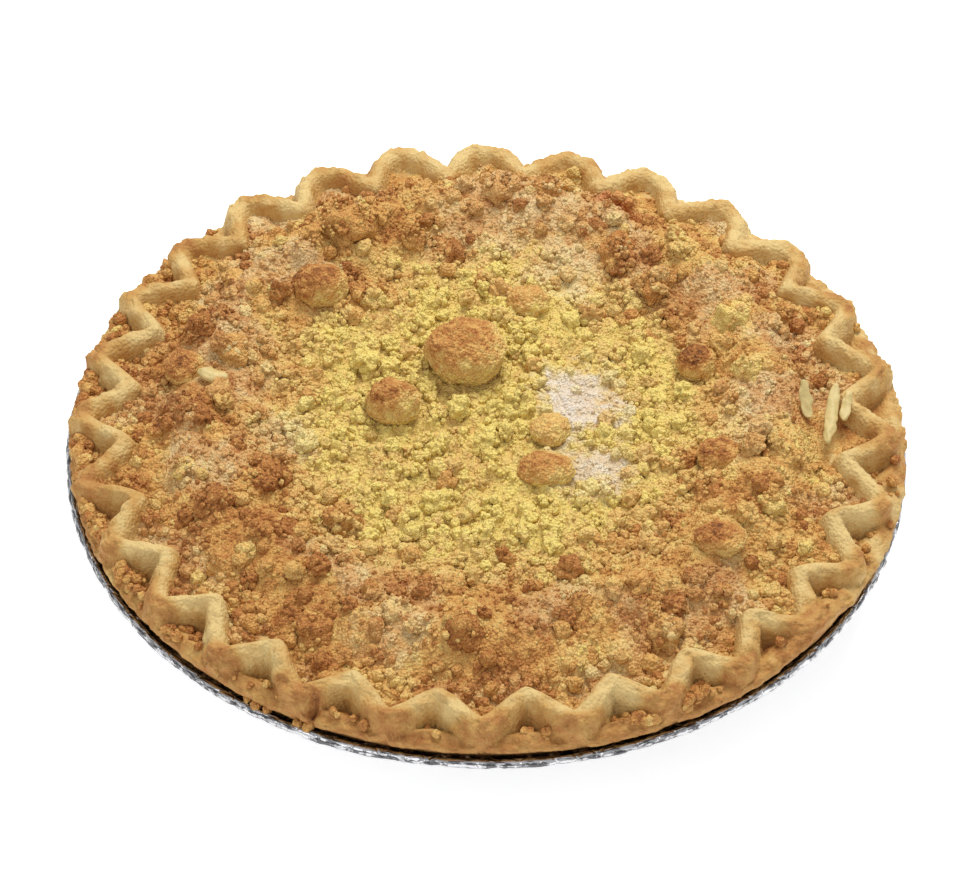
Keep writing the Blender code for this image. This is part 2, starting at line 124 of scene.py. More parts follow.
TOPPING_BOTTOM = 0.0300
CRUMB_SEED = 26
SMALL_CRUMBS = 100
SMALL_CRUMB_RADIUS = (0.0023, 0.0039)
LARGE_CRUMBS = 24
LARGE_CRUMB_RADIUS = (0.0042, 0.0062)
POCKET_CRUMB_RADIUS = (0.0026, 0.0036)
FUSED_LUMPS = (
    (0.0096, 0.0047, 0.0068),
    (0.0504, 0.0527, 0.0060),
    (0.0645, -0.0325, 0.0054),
    (-0.0401, -0.0445, 0.0060),
    (-0.0613, -0.0281, 0.0054),
    (-0.0835, 0.0285, 0.0062),
    (-0.0440, 0.0740, 0.0105),
)
MOUNDS = 18
MOUND_SEED = 11
MOUND_RISE = (0.0006, 0.0030)
MOUND_SPREAD = (0.0065, 0.0105)
SPLIT_ANGLE = math.radians(64)
SPLIT_RADIUS = 0.0955
SPLIT_SLANT = math.radians(-27)
SPLIT_SIZE = (0.0026, 0.0080)
GOLDEN_ANGLE = math.pi * (3 - math.sqrt(5))

# How browned each large lump is, and the side that is browned most
LUMP_BROWNING = {
    "lump_back_left": 0.55,
    "lump_ball": 0.50,
    "lump_brown_left": 0.50,
    "lump_browned": 0.52,
    "lump_dark": 0.62,
    "lump_golden": 0.32,
    "lump_long": 0.60,
    "lump_pear": 0.54,
    "lump_right": 0.50,
    "lump_yellow": 0.22,
}
BROWNED_SIDE = Vector((-0.38, 0.05, 0.92))

# Fixed tints of the finishes, among them the warm painted shade of the crumbs' hollows and crevices and
# the near-black painted reflection on the foil's rolled edge, and the most that crumbs and pastry are
# browned
CREVICE_SHADE = (0.62, 0.47, 0.27, 1.0)
FOIL_SMUDGE = (0.66, 0.66, 0.67, 1.0)
FOIL_DARK_REFLECTION = (0.07, 0.07, 0.075, 1.0)
MOST_BROWNED = 0.70

# Seeds of the scattered crumbs, and the least gap under the model's top
SCATTER_SEEDS = {
    "lumps": 9,
    "dust": 13,
    "heaps": 17,
    "pale": 3,
    "ring": 5,
    "pockets": 19,
    "own": 11,
    "clusters": 7,
}
TOP_GAP = 0.0001

# Radii of the scattered crumbs, from least to most or to choose from
DUST_RADIUS = (0.00042, 0.00080)
PALE_RADIUS = (0.00070, 0.00145)
RING_RADIUS = (0.00055, 0.00105)
HEAP_RADIUS = (0.0019, 0.0036)
CLUSTER_RADII = (0.0014, 0.0017, 0.0020, 0.0024)
POCKET_RADII = (0.0006, 0.0009, 0.0012, 0.0017)
SIZE_SPREAD = (0.85, 1.15)

# How far from the middle the pale crumbs and the heaps reach
PALE_REACH = 0.074
HEAP_REACH = 0.094

# Flutes of the dish's side, and the light of the stage
FLUTES = 75
FLUTE_DEPTH = 0.0005
FLOOR_GLOW = 0.50
SKY_LIGHT = 0.60

# Patches where thick juice shows through the crumbs: x, y, radius, strength
SYRUP_PATCHES = (
    (0.030, -0.021, 0.012, 0.8),
    (0.027, 0.008, 0.013, 1.0),
    (-0.074, 0.010, 0.012, 0.36),
    (0.004, 0.088, 0.020, 0.40),
    (0.080, 0.003, 0.010, 0.5),
    (-0.024, -0.086, 0.011, 0.36),
    (0.024, 0.062, 0.016, 0.36),
    (0.058, -0.080, 0.009, 0.34),
    (-0.060, -0.012, 0.010, 0.36),
    (0.090, 0.030, 0.012, 0.45),
)

# Burnt bits of dough on the foil's edge: angle, distance from the middle, radius
EDGE_BITS = (
    (math.radians(238.5), 0.1204, 0.0011),
    (math.radians(240.0), 0.1207, 0.0016),
    (math.radians(241.6), 0.1206, 0.0013),
    (math.radians(246.2), 0.1209, 0.0015),
    (math.radians(247.6), 0.1207, 0.0018),
)

# Spots that are browned most, the first of them darkened as the painted shadow of a deep hole: x, y,
# spread, amount
DARK_SPOTS = (
    # Painted shadow: a deep hole between the topping, a sliver and the pinched ridge.
    (0.1033, -0.0194, 0.0030, 0.90),
    (-0.0453, 0.0819, 0.0090, 0.24),
    (-0.0836, 0.0293, 0.0060, 0.26),
    (-0.0844, -0.0059, 0.0095, 0.30),
    (-0.0693, -0.0516, 0.0105, 0.30),
    (-0.0591, -0.0790, 0.0080, 0.24),
    (-0.0217, 0.0739, 0.0070, 0.15),
    (0.0019, -0.0988, 0.0080, 0.22),
    (-0.0408, -0.0927, 0.0070, 0.20),
    (0.0462, 0.0616, 0.0055, 0.22),
    (0.0608, 0.0439, 0.0065, 0.26),
    (0.0775, -0.0310, 0.0070, 0.22),
    (0.0587, -0.0728, 0.0080, 0.22),
    (0.0446, -0.0909, 0.0060, 0.20),
    (0.0706, 0.0600, 0.0060, 0.20),
    (-0.0949, 0.0131, 0.0070, 0.22),
    (-0.0403, -0.0418, 0.0038, 0.34),
    (-0.0612, -0.0291, 0.0040, 0.20),
    (-0.0235, -0.0547, 0.0040, 0.24),
    (-0.0123, -0.0589, 0.0035, 0.26),
    (0.0334, -0.0571, 0.0035, 0.24),
    (0.0474, -0.0613, 0.0038, 0.22),
    (0.0660, -0.0344, 0.0045, 0.20),
    (0.0506, 0.0549, 0.0050, 0.20),
)


def count_setting(name, description, default, least=0):
    return IntProperty(name=name, description=description, default=default, min=least)


def length_setting(name, description, default):
    return FloatProperty(name=name, description=description, default=default, unit="LENGTH")


def colour_setting(name, description, default):
    return FloatVectorProperty(name=name, description=description, default=default, subtype="COLOR")


class PieSizes(bpy.types.PropertyGroup):
    """How fine and how rough the pie's surfaces are."""

    bed_cells: count_setting("Topping cells", "Cells across the topping's own surface", 310, least=40)
    clump_width: length_setting("Clump width", "Width of the larger clumps in the topping", 0.0068)
    clump_rise: length_setting("Clump rise", "Height of the larger clumps", 0.0022)
    mound_width: length_setting("Mound width", "Width of the soft sandy mounds on the ring", 0.0125)
    mound_rise: length_setting("Mound rise", "Height of the soft sandy mounds", 0.0026)
    knob_width: length_setting("Knob width", "Width of the small knobs on each clump", 0.0026)
    knob_rise: length_setting("Knob rise", "Height of the small knobs", 0.0014)
    dust_grains: count_setting("Dust", "Finest crumbs, all over", 7600)
    heaps: count_setting("Heaps", "Knobbly heaps of crumb stuck together", 145)
    pale_grains: count_setting("Pale grains", "Fine crumbs in the sunken middle", 2450)
    ring_grains: count_setting("Ring grains", "Fine crumbs on the raised ring and in the pockets", 2200)
    pocket_grains: count_setting("Pocket grains", "Crumbs in the outer pockets of the rim", 560)
    clusters: count_setting("Clusters", "Knobbly crumbs, a few millimetres across, all over", 420)
    rim_steps: count_setting("Steps for each crimp", "Steps along the pinched pastry for each crimp", 34)
    dish_steps: count_setting("Dish steps", "Steps round the foil dish", 640)
    foil_crumple: length_setting("Foil crumple", "Depth of the creases in the rolled foil edge", 0.0005)


class PieColours(bpy.types.PropertyGroup):
    """The pie's colours."""

    pale: colour_setting("Pale crumb", "Least baked crumb, in the middle", (0.86, 0.69, 0.206))
    sand: colour_setting("Sandy crumb", "Lightly baked crumb", (0.80, 0.56, 0.197))
    golden: colour_setting("Golden crumb", "Baked crumb on the ring", (0.70, 0.388, 0.118))
    browned: colour_setting("Browned crumb", "Well browned crumb tops", (0.468, 0.183, 0.05))
    dark: colour_setting("Dark crumb", "Darkest spots of crumb and pastry", (0.19, 0.065, 0.022))
    syrup: colour_setting("Syrup", "Thick juice soaked into the crumbs", (0.85, 0.78, 0.70))
    syrup_baked: colour_setting("Baked syrup", "Juice soaked into well baked crumbs", (0.54, 0.345, 0.23))
    crust: colour_setting("Pastry", "Palest baked pastry", (0.65, 0.473, 0.196))
    crust_golden: colour_setting("Golden pastry", "Pastry at its golden corners", (0.52, 0.295, 0.086))
    crust_browned: colour_setting("Browned pastry", "Pastry at its browned edges", (0.38, 0.155, 0.04))
    filling: colour_setting("Filling", "Dark juice and apple at the split", (0.44, 0.072, 0.032))
    apple: colour_setting("Apple sliver", "Pale dry slivers of apple", (0.55, 0.43, 0.175))
    foil: colour_setting("Foil", "Bright side of the foil", (0.57, 0.57, 0.59))
    floor: colour_setting("Floor", "Pale floor under the pie", (0.93, 0.93, 0.93))


def sizes():
    return bpy.context.scene.pie_sizes


def colours():
    return bpy.context.scene.pie_colours


# Meshes

def new_piece(name, mesh, finish, slot):
    piece = bpy.data.objects.new(name, mesh)
    bpy.context.scene.collection.objects.link(piece)
    mesh.materials.clear()
    mesh.materials.append(finish)
    mesh.shade_smooth()
    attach(piece, "root")
    return piece


def mesh_from(form, name):
    mesh = bpy.data.meshes.new(name)
    form.to_mesh(mesh)
    form.free()
    return mesh


def paint(mesh, name, values):
    """Keep one number for each vertex, for the materials to read."""
    layer = mesh.attributes.new(name=name, type="FLOAT", domain="POINT")
    layer.data.foreach_set("value", np.asarray(values, dtype=np.float32))


def paint_crumb(mesh, tone, syrup, stain, hollow):
    """How dark in tone (browned, with some painted highlight and shadow), soaked and stained a crumb mesh
    is at each vertex, and how hollow or tucked under it is there, which the crumb finish darkens as
    painted shade.
    """
    for name, values in (("tone", tone), ("syrup", syrup), ("stain", stain), ("hollow", hollow)):
        paint(mesh, name, values)


def points_of(mesh):
    points = np.zeros(len(mesh.vertices) * 3, dtype=np.float32)
    mesh.vertices.foreach_get("co", points)
    return points.reshape(-1, 3)


def turned_rings(points, steps, name, place):
    """Spin a row of points all the way round, then set each by its step and its number in the row."""
    form = bmesh.new()
    row = [form.verts.new((1.0 + i, 0, 0)) for i in range(points)]
    edges = [form.edges.new(pair) for pair in zip(row, row[1:])]
    bmesh.ops.spin(
        form,
        geom=row + edges,
        cent=(0, 0, 0),
        axis=(0, 0, 1),
        dvec=(0, 0, 0),
        angle=math.tau,
        steps=steps,
        use_merge=True,
        use_duplicate=False,
    )
    for vertex in form.verts:
        number = round(math.hypot(vertex.co.x, vertex.co.y) - 1.0)
        step = round(math.atan2(vertex.co.y, vertex.co.x) / math.tau * steps) % steps
        vertex.co = place(step, number)
    bmesh.ops.remove_doubles(form, verts=form.verts, dist=0.000001)
    bmesh.ops.recalc_face_normals(form, faces=form.faces)
    return mesh_from(form, name)


# Shapes that the pieces share

def smoothstep(low, high, value):
    share = min(max((value - low) / (high - low), 0.0), 1.0)
    return share * share * (3 - 2 * share)


def nearness(angle, centre, spread):
    gap = math.remainder(angle - centre, math.tau)
    return math.exp(-(gap / spread) ** 2)


def polar(radius, angle, height):
    return Vector((radius * math.cos(angle), radius * math.sin(angle), height))


def wave(x, y, scale, layer):
    return noise.noise(Vector((x * scale, y * scale, layer)))


def domes(x, y, width, layer):
    """Rounded humps packed side by side: 1 at their tops, 0 or less where they meet."""
    place = Vector((x / width, y / width, layer))
    distances, centres = noise.voronoi(place)
    size = 0.75 + 0.5 * abs(noise.noise(centres[0] * 5.3))
    return max(0.0, 1.0 - (distances[0] / (0.72 * size)) ** 2)


def crimp_angle(step):
    """The angle of a place along the rim, counted in crimps; whole numbers are inward tips."""
    even = CRIMP_START + math.tau * step / CRIMPS
    lean = CRIMP_LEAN * math.cos(even - CRIMP_LEAN_SIDE)
    tug = CRIMP_TUG * max(0.0, math.cos(even - CRIMP_TUG_SIDE)) ** 4
    return even + lean - tug


def crimp_step(angle):
    """The place along the rim, counted in crimps, at an angle."""
    step = (angle - CRIMP_START) / math.tau * CRIMPS
    for _ in range(4):
        miss = math.remainder(angle - crimp_angle(step), math.tau)
        step += miss / math.tau * CRIMPS
    return step


def hand_pinches():
    """Small differences between the crimps: radius and height, one pair for each half crimp."""
    draw = random.Random(RIM_SEED)
    return [(draw.uniform(-1, 1), draw.uniform(-1, 1)) for _ in range(2 * CRIMPS)]


PINCHES = hand_pinches()


def tip_radius(angle):
    """Radius of the ridge at its inward tips, larger at the front."""
    return TIP_RADIUS + TIP_RADIUS_FRONT * max(0.0, math.cos(angle - FRONT_SIDE)) ** 1.5


def rim_inside(angle):
    """Radius of the pastry's inner face, just inside the tips."""
    return tip_radius(angle) - RIDGE_FOOT - HAND_PINCH


def backness(angle):
    """How far round to the back an angle is, where the topping is heaped up to the pastry."""
    return max(0.0, math.cos(angle - BACK_SIDE)) ** 2


def ridge_point(step):
    """A point of the zigzag ridge's crest, with corners a little rounded and broad bends at the back."""
    angle = crimp_angle(step)
    low = math.floor(2 * step)
    share = 2 * step - low
    before, after = PINCHES[low % (2 * CRIMPS)], PINCHES[(low + 1) % (2 * CRIMPS)]
    pull, lift = (HAND_PINCH * (a * (1 - share) + b * share) for a, b in zip(before, after))
    bend = 2 * abs((step + 0.5) % 1 - 0.5)
    bend = 0.65 * bend + 0.35 * (0.5 - 0.5 * math.cos(math.pi * bend))
    bend = 1 - (1 - bend) ** (1 + BEND_BREADTH_BACK * backness(angle))
    tip = tip_radius(angle)
    crest = TIP_CREST + (BEND_CREST - TIP_CREST) * bend + lift
    crest -= 0.4 * LOBE_RISE * nearness(angle, LOBE_ANGLE, LOBE_SPREAD)
    return polar(tip + (BEND_RADIUS - tip) * bend + pull, angle, crest)


CORNERS = [ridge_point(i / CORNERS_PER_CRIMP) for i in range(CORNERS_PER_CRIMP * CRIMPS)]


def ridge_radius(step):
    """Radius of the ridge's crest at a place along the rim."""
    return ridge_point(step).xy.length


def from_ridge(x, y, step):
    """Distance to the ridge's line, and the crest's height there."""
    low = math.floor(CORNERS_PER_CRIMP * step)
    nearest = (1.0, 0.0)
    for number in range(low - 7, low + 8):
        start = CORNERS[number % len(CORNERS)]
        end = CORNERS[(number + 1) % len(CORNERS)]
        run_x, run_y = end.x - start.x, end.y - start.y
        share = ((x - start.x) * run_x + (y - start.y) * run_y) / (run_x * run_x + run_y * run_y)
        share = min(max(share, 0.0), 1.0)
        away = math.hypot(x - start.x - run_x * share, y - start.y - run_y * share)
        if away < nearest[0]:
            nearest = (away, start.z + (end.z - start.z) * share)
    return nearest


def ring_crest(angle):
    """Radius of the raised ring's crest."""
    return RING_CREST + RING_CREST_BACK * backness(angle)


def ring_mounds():
    """The humps of the raised ring: centre, spread and rise."""
    draw = random.Random(MOUND_SEED)
    mounds = []
    for i in range(MOUNDS):
        angle = math.tau * (i + draw.uniform(-0.3, 0.3)) / MOUNDS
        radius = ring_crest(angle) + draw.uniform(-0.005, 0.003)
        centre = polar(radius, angle, 0)
        mounds.append((centre.x, centre.y, draw.uniform(*MOUND_SPREAD), draw.uniform(*MOUND_RISE)))
    return mounds


MOUND_LIST = ring_mounds()


def mound_rise(x, y):
    rise = 0.0
    for centre_x, centre_y, spread, height in MOUND_LIST:
        away = ((x - centre_x) ** 2 + (y - centre_y) ** 2) / spread ** 2
        if away < 9:
            rise += height * math.exp(-away)
    return rise


def topping_top(x, y):
    """Height of the crumb surface: a sunken middle inside a raised, humped ring."""
    radius = math.hypot(x, y)
    angle = math.atan2(y, x)
    edge = rim_inside(angle)
    crest = CREST_TOP + CREST_TOP_BACK * math.cos(angle - BACK_SIDE)
    edge_top = TOPPING_EDGE_TOP + TOPPING_EDGE_BACK * backness(angle)
    height = CENTRE_TOP
    height += (crest - CENTRE_TOP) * smoothstep(RING_FOOT, ring_crest(angle), radius)
    height -= (crest - edge_top) * smoothstep(ring_crest(angle), edge, radius)
    edge_fade = 1 - smoothstep(edge - 0.007, edge, radius)
    return height + mound_rise(x, y) + 0.0008 * wave(x, y, 95, 0.5) * edge_fade


def topping_reach(angle):
    """Radius where the crumbs run under the pinched ridge."""
    return ridge_radius(crimp_step(angle)) - 0.45 * RIDGE_FOOT


def syrup_at(x, y):
    """How much thick juice shows, from 0 to 1."""
    most = 0.0
    ragged = 0.55 * wave(x, y, 130, 3.7) + 0.45 * wave(x, y, 420, 3.1)
    for centre_x, centre_y, radius, strength in SYRUP_PATCHES:
        away = math.hypot(x - centre_x, y - centre_y) / radius + ragged
        most = max(most, strength * (1 - smoothstep(0.35, 1.35, away)))
    return most


def cast_at(x, y):
    """How far the crumbs of the raised ring are tinted by the juice under them."""
    ring = smoothstep(0.060, 0.080, math.hypot(x, y))
    return ring * smoothstep(0.0, 0.3, wave(x, y, 60, 16.5) + 0.15 * wave(x, y, 130, 3.7))


def sliver_near(x, y):
    """1 under a sliver of apple, 0 well away from one."""
    most = 0.0
    for low, high in SLIVER_BOXES:
        away_x = max(low[0] - x, x - high[0], 0.0)
        away_y = max(low[1] - y, y - high[1], 0.0)
        most = max(most, 1 - smoothstep(0.0, 0.003, math.hypot(away_x, away_y)))
    return most


def from_split(x, y):
    """How far a place is from the middle of the split, across it and along it."""
    away = Vector((x, y, 0)) - polar(SPLIT_RADIUS, SPLIT_ANGLE, 0)
    away.rotate(Euler((0, 0, -SPLIT_ANGLE - SPLIT_SLANT)))
    return away


def split_at(x, y):
    """1 inside the split over the bubble of juice, 0 well outside it."""
    away = from_split(x, y)
    return 1 - smoothstep(0.8, 1.25, math.hypot(away.x / SPLIT_SIZE[0], away.y / SPLIT_SIZE[1]))


def bed_height(x, y):
    """The topping's own surface with its clumps and knobs, and how hollow it is there, for the painted
    shade in its hollows.
    """
    settings = sizes()
    radius = math.hypot(x, y)
    angle = math.atan2(y, x)
    edge = rim_inside(angle)
    base = topping_top(x, y)
    if radius > edge:
        share = min((radius - edge) / (topping_reach(angle) - edge), 1.0)
        fall = smoothstep(0.0, 1.0 - 0.45 * backness(angle), share)
        base += (POCKET_FLOOR + 0.0008 - base) * fall
    bare = sliver_near(x, y)
    calm = (1 - 0.35 * syrup_at(x, y)) * (1 - bare)
    ring = smoothstep(0.052, 0.074, radius)
    shift_x = 0.0011 * wave(x, y, 330, 8.1)
    shift_y = 0.0011 * wave(x, y, 330, 9.4)
    clump = domes(x + shift_x, y + shift_y, settings.clump_width, 2.0)
    broad = domes(x + shift_x, y + shift_y, settings.mound_width, 4.0)
    knob = domes(x + shift_x, y + shift_y, settings.knob_width, 6.0)
    fine = domes(x, y, 0.5 * settings.knob_width, 8.0)
    middle_relief = settings.clump_rise * clump + settings.knob_rise * knob * (0.7 + 0.3 * clump)
    middle_relief += 0.35 * settings.knob_rise * fine
    ring_relief = settings.mound_rise * broad + 0.45 * settings.clump_rise * clump
    ring_relief += 0.45 * settings.knob_rise * knob + 0.35 * settings.knob_rise * fine
    relief = middle_relief * (1 - ring) + ring_relief * ring
    relief -= 0.45 * (settings.clump_rise + settings.knob_rise)
    hollow_middle = 1 - min(1.0, 0.5 * clump + 0.6 * knob + 0.2 * fine)
    hollow_ring = 1 - min(1.0, 0.8 * broad + 0.3 * clump + 0.3 * knob + 0.2 * fine)
    hollow = hollow_middle * (1 - ring) + hollow_ring * ring
    return base + calm * relief - 0.0006 * bare - 0.007 * split_at(x, y), hollow * calm


def stained_at(x, y):
    """How far juice from the split has stained the crumbs round it."""
    away = from_split(x, y)
    far = math.hypot(away.x / (1.3 * SPLIT_SIZE[0]), (away.y - 0.003) / SPLIT_SIZE[1])
    return 1 - smoothstep(0.6, 1.9, far + 0.5 * wave(x, y, 420, 21.5))


def baked(x, y, rise):
    """How dark the topping is, 0 palest and 1 darkest: mostly how browned it is, with a painted highlight
    on raised crumbs in the middle and a painted shadow in one deep hole. Rise is the height over its mean
    surface.
    """
    radius = math.hypot(x, y)
    angle = math.atan2(y, x)
    ring = smoothstep(0.050, 0.078, radius + 0.012 * wave(x, y, 45, 1.3))
    side = 0.37 + 0.05 * math.cos(angle - math.radians(205))
    tone = 0.10 + (side - 0.10) * ring
    tone += ring * 0.020 * mound_rise(x, y) / 0.001
    tone += (0.10 + 0.20 * ring) * wave(x, y, 75, 5.5)
    tone += (0.14 + 0.22 * ring) * wave(x, y, 200, 7.5)
    tone += (0.12 + 0.14 * ring) * wave(x, y, 520, 9.5)
    # Raised places are browner on the ring, where tops bake most, and paler in the middle, which is a
    # painted highlight.
    tone += (60 * ring - 25) * max(rise, 0.0)
    # Browned spots, and the painted shadow of one deep hole.
    for spot_x, spot_y, spread, amount in DARK_SPOTS:
        away = ((x - spot_x) ** 2 + (y - spot_y) ** 2) / spread ** 2
        if away < 9:
            tone += amount * math.exp(-away)
    tone += 0.22 * sliver_near(x, y)
    least = 0.24 * ring
    return min(least + (1 - least) * max(tone - 0.5 * least, 0.0), 0.92)


# Finishes

class Nodes:
    """Short ways to build one material's or one group's nodes."""

    def __init__(self, tree):
        self.tree = tree
        tree.nodes.clear()

    def add(self, kind, **settings):
        node = self.tree.nodes.new("ShaderNode" + kind)
        for name, value in settings.items():
            setattr(node, name, value)
        return node

    def link(self, source, target):
        self.tree.links.new(source, target)

    def put(self, value, socket):
        """Give a socket a constant or the output of another node."""
        if isinstance(value, bpy.types.NodeSocket):
            self.link(value, socket)
        else:
            socket.default_value = value

    def set(self, node, **values):
        for name, value in values.items():
            self.put(value, node.inputs[name.replace("_", " ")])
        return node

    def value(self, operation, first, second=0.0, clamp=False):
        node = self.add("Math", operation=operation, use_clamp=clamp)
        self.put(first, node.inputs[0])
        self.put(second, node.inputs[1])
        return node.outputs[0]

    def mix(self, factor, first, second, blend="MIX"):
        node = self.add("Mix", data_type="RGBA", blend_type=blend)
        for number, value in ((0, factor), (6, first), (7, second)):
            self.put(value, node.inputs[number])
        return node.outputs[2]

    def ramp(self, factor, stops):
        node = self.add("ValToRGB")
        while len(node.color_ramp.elements) < len(stops):
            node.color_ramp.elements.new(0.5)
        for element, (place, colour) in zip(node.color_ramp.elements, stops):
            element.position = place
            element.color = tuple(colour) + (1.0,)
        self.link(factor, node.inputs[0])
        return node.outputs[0]

    def mask(self, value, low, high):
        node = self.add("MapRange", interpolation_type="SMOOTHSTEP")
        self.set(node, From_Min=low, From_Max=high)
        self.link(value, node.inputs["Value"])
        return node.outputs[0]

    def noise(self, scale, detail=2.0, roughness=0.5):
        place = self.add("TexCoord").outputs["Object"]
        node = self.add("TexNoise")
        return self.set(node, Vector=place, Scale=scale, Detail=detail, Roughness=roughness).outputs[0]

    def swing(self, amount, scale, detail, roughness=0.5):
        """Noise that swings round 0 by an amount."""
        even = self.value("SUBTRACT", self.noise(scale, detail, roughness), 0.5)
        return self.value("MULTIPLY", even, amount)

    def attribute(self, name):
        return self.add("Attribute", attribute_name=name).outputs["Fac"]


def rgba(colour):
    return tuple(colour) + (1.0,)


def grain_group():
    """Fine baked grain: a height for the bump, its crevices, which are painted as shade, dark specks and
    light specks.
    """
    group = bpy.data.node_groups.get("Baked grain")
    if group:
        return group
    group = bpy.data.node_groups.new("Baked grain", "ShaderNodeTree")
    face = group.interface
    scale = face.new_socket("Scale", in_out="INPUT", socket_type="NodeSocketFloat")
    scale.default_value = 1500.0
    for name in ("Height", "Crevices", "Dark specks", "Light specks"):
        face.new_socket(name, in_out="OUTPUT", socket_type="NodeSocketFloat")
    build = Nodes(group)
    entry = build.add("TexCoord")
    source = group.nodes.new("NodeGroupInput")
    target = group.nodes.new("NodeGroupOutput")
    place = entry.outputs["Object"]
    cells = build.add("TexVoronoi", feature="F1")
    build.set(cells, Vector=place, Scale=source.outputs["Scale"])
    fine = build.add("TexNoise")
    fine_scale = build.value("MULTIPLY", source.outputs["Scale"], 1.7)
    build.set(fine, Vector=place, Scale=fine_scale, Detail=3.0)
    broad = build.add("TexNoise")
    broad_scale = build.value("MULTIPLY", source.outputs["Scale"], 0.4)
    build.set(broad, Vector=place, Scale=broad_scale, Detail=4.0)
    domed = build.value("SUBTRACT", 1.0, cells.outputs["Distance"])
    height = build.value("ADD", domed, build.value("MULTIPLY", fine.outputs[0], 0.5))
    group.links.new(height, target.inputs["Height"])
    group.links.new(build.mask(cells.outputs["Distance"], 0.38, 0.74), target.inputs["Crevices"])
    group.links.new(build.mask(broad.outputs[0], 0.60, 0.74), target.inputs["Dark specks"])
    group.links.new(build.mask(fine.outputs[0], 0.60, 0.72), target.inputs["Light specks"])
    return group


def shader(name, roughness, specular=0.3):
    """A new material with its shader, and the node builder for it."""
    material = bpy.data.materials.new(name)
    material.use_nodes = True
    build = Nodes(material.node_tree)
    surface = build.add("BsdfPrincipled")
    surface.inputs["Roughness"].default_value = roughness
    surface.inputs["Specular IOR Level"].default_value = specular
    output = build.add("OutputMaterial")
    build.link(surface.outputs[0], output.inputs[0])
    return material, build, surface


def add_grain(build, scale):
    grain = build.add("Group")
    grain.node_tree = grain_group()
    grain.inputs["Scale"].default_value = scale
    return grain.outputs


def bump(build, surface, height, distance, strength=1.0):
    node = build.add("Bump")
    build.set(node, Height=height, Distance=distance, Strength=strength)
    build.link(node.outputs[0], surface.inputs["Normal"])


def crumb_finish():
    """Baked crumbs: pale to brown by how baked they are, with soaked patches, and painted shade darkening
    their hollows and the crevices of their grain.
    """
    made = bpy.data.materials.get("Baked crumb")
    if made:
        return made
    tints = colours()
    material, build, surface = shader("Baked crumb", 0.85, 0.25)
    grain = add_grain(build, 1150.0)
    hollow = build.attribute("hollow")
    # Painted shade: the hollows are also made a little browner.
    tone = build.value("ADD", build.attribute("tone"), build.value("MULTIPLY", hollow, 0.05))
    tone = build.value("ADD", tone, build.swing(0.55, 1500.0, 2.0))
    tone = build.value("ADD", tone, build.swing(0.50, 420.0, 3.0), clamp=True)
    colour = build.ramp(tone, (
        (0.0, tints.pale),
        (0.25, tints.sand),
        (0.52, tints.golden),
        (0.80, tints.browned),
        (1.0, tints.dark),
    ))
    soaked = build.value("MULTIPLY", build.attribute("syrup"), build.value("SUBTRACT", 1.0, tone))
    baked_juice = build.value("MULTIPLY", tone, 1.3, clamp=True)
    juice = build.mix(baked_juice, rgba(tints.syrup), rgba(tints.syrup_baked))
    colour = build.mix(soaked, colour, juice)
    # Painted shade: hollows and the crevices of the grain are multiplied toward a warm brown.
    shade = build.value("MULTIPLY", build.value("ADD", hollow, grain["Crevices"], clamp=True), 0.26)
    colour = build.mix(shade, colour, CREVICE_SHADE, "MULTIPLY")
    specks = build.value("MULTIPLY", grain["Dark specks"], build.value("ADD", tone, 0.15, clamp=True))
    colour = build.mix(specks, colour, rgba(tints.browned))
    lights = build.value("MULTIPLY", grain["Light specks"], 0.35)
    colour = build.mix(lights, colour, rgba(tints.pale))
    stain = build.mix(0.35, rgba(tints.filling), rgba(tints.golden))
    colour = build.mix(build.attribute("stain"), colour, stain)
    build.link(colour, surface.inputs["Base Color"])
    bump(build, surface, grain["Height"], 0.0008, 1.0)
    return material


def pastry_finish():
    """Baked pastry: pale gold, browner at its corners and edges, with painted shade in its deep pocket
    corners and on its lip, finely speckled.
    """
    tints = colours()
    material, build, surface = shader("Baked pastry", 0.72, 0.3)
    grain = add_grain(build, 1000.0)
    tone = build.value("ADD", build.attribute("tone"), build.swing(0.9, 300.0, 5.0, 0.6), clamp=True)
    colour = build.ramp(tone, (
        (0.0, tints.crust),
        (0.50, tints.crust_golden),
        (0.85, tints.crust_browned),
        (1.0, tints.dark),
    ))
    specks = build.value("MULTIPLY", grain["Dark specks"], 0.24)
    colour = build.mix(specks, colour, rgba(tints.crust_browned))
    lights = build.value("MULTIPLY", grain["Light specks"], 0.30)
    colour = build.mix(lights, colour, rgba(tints.crust))
    build.link(colour, surface.inputs["Base Color"])
    bump(build, surface, grain["Height"], 0.0005, 0.8)
    return material


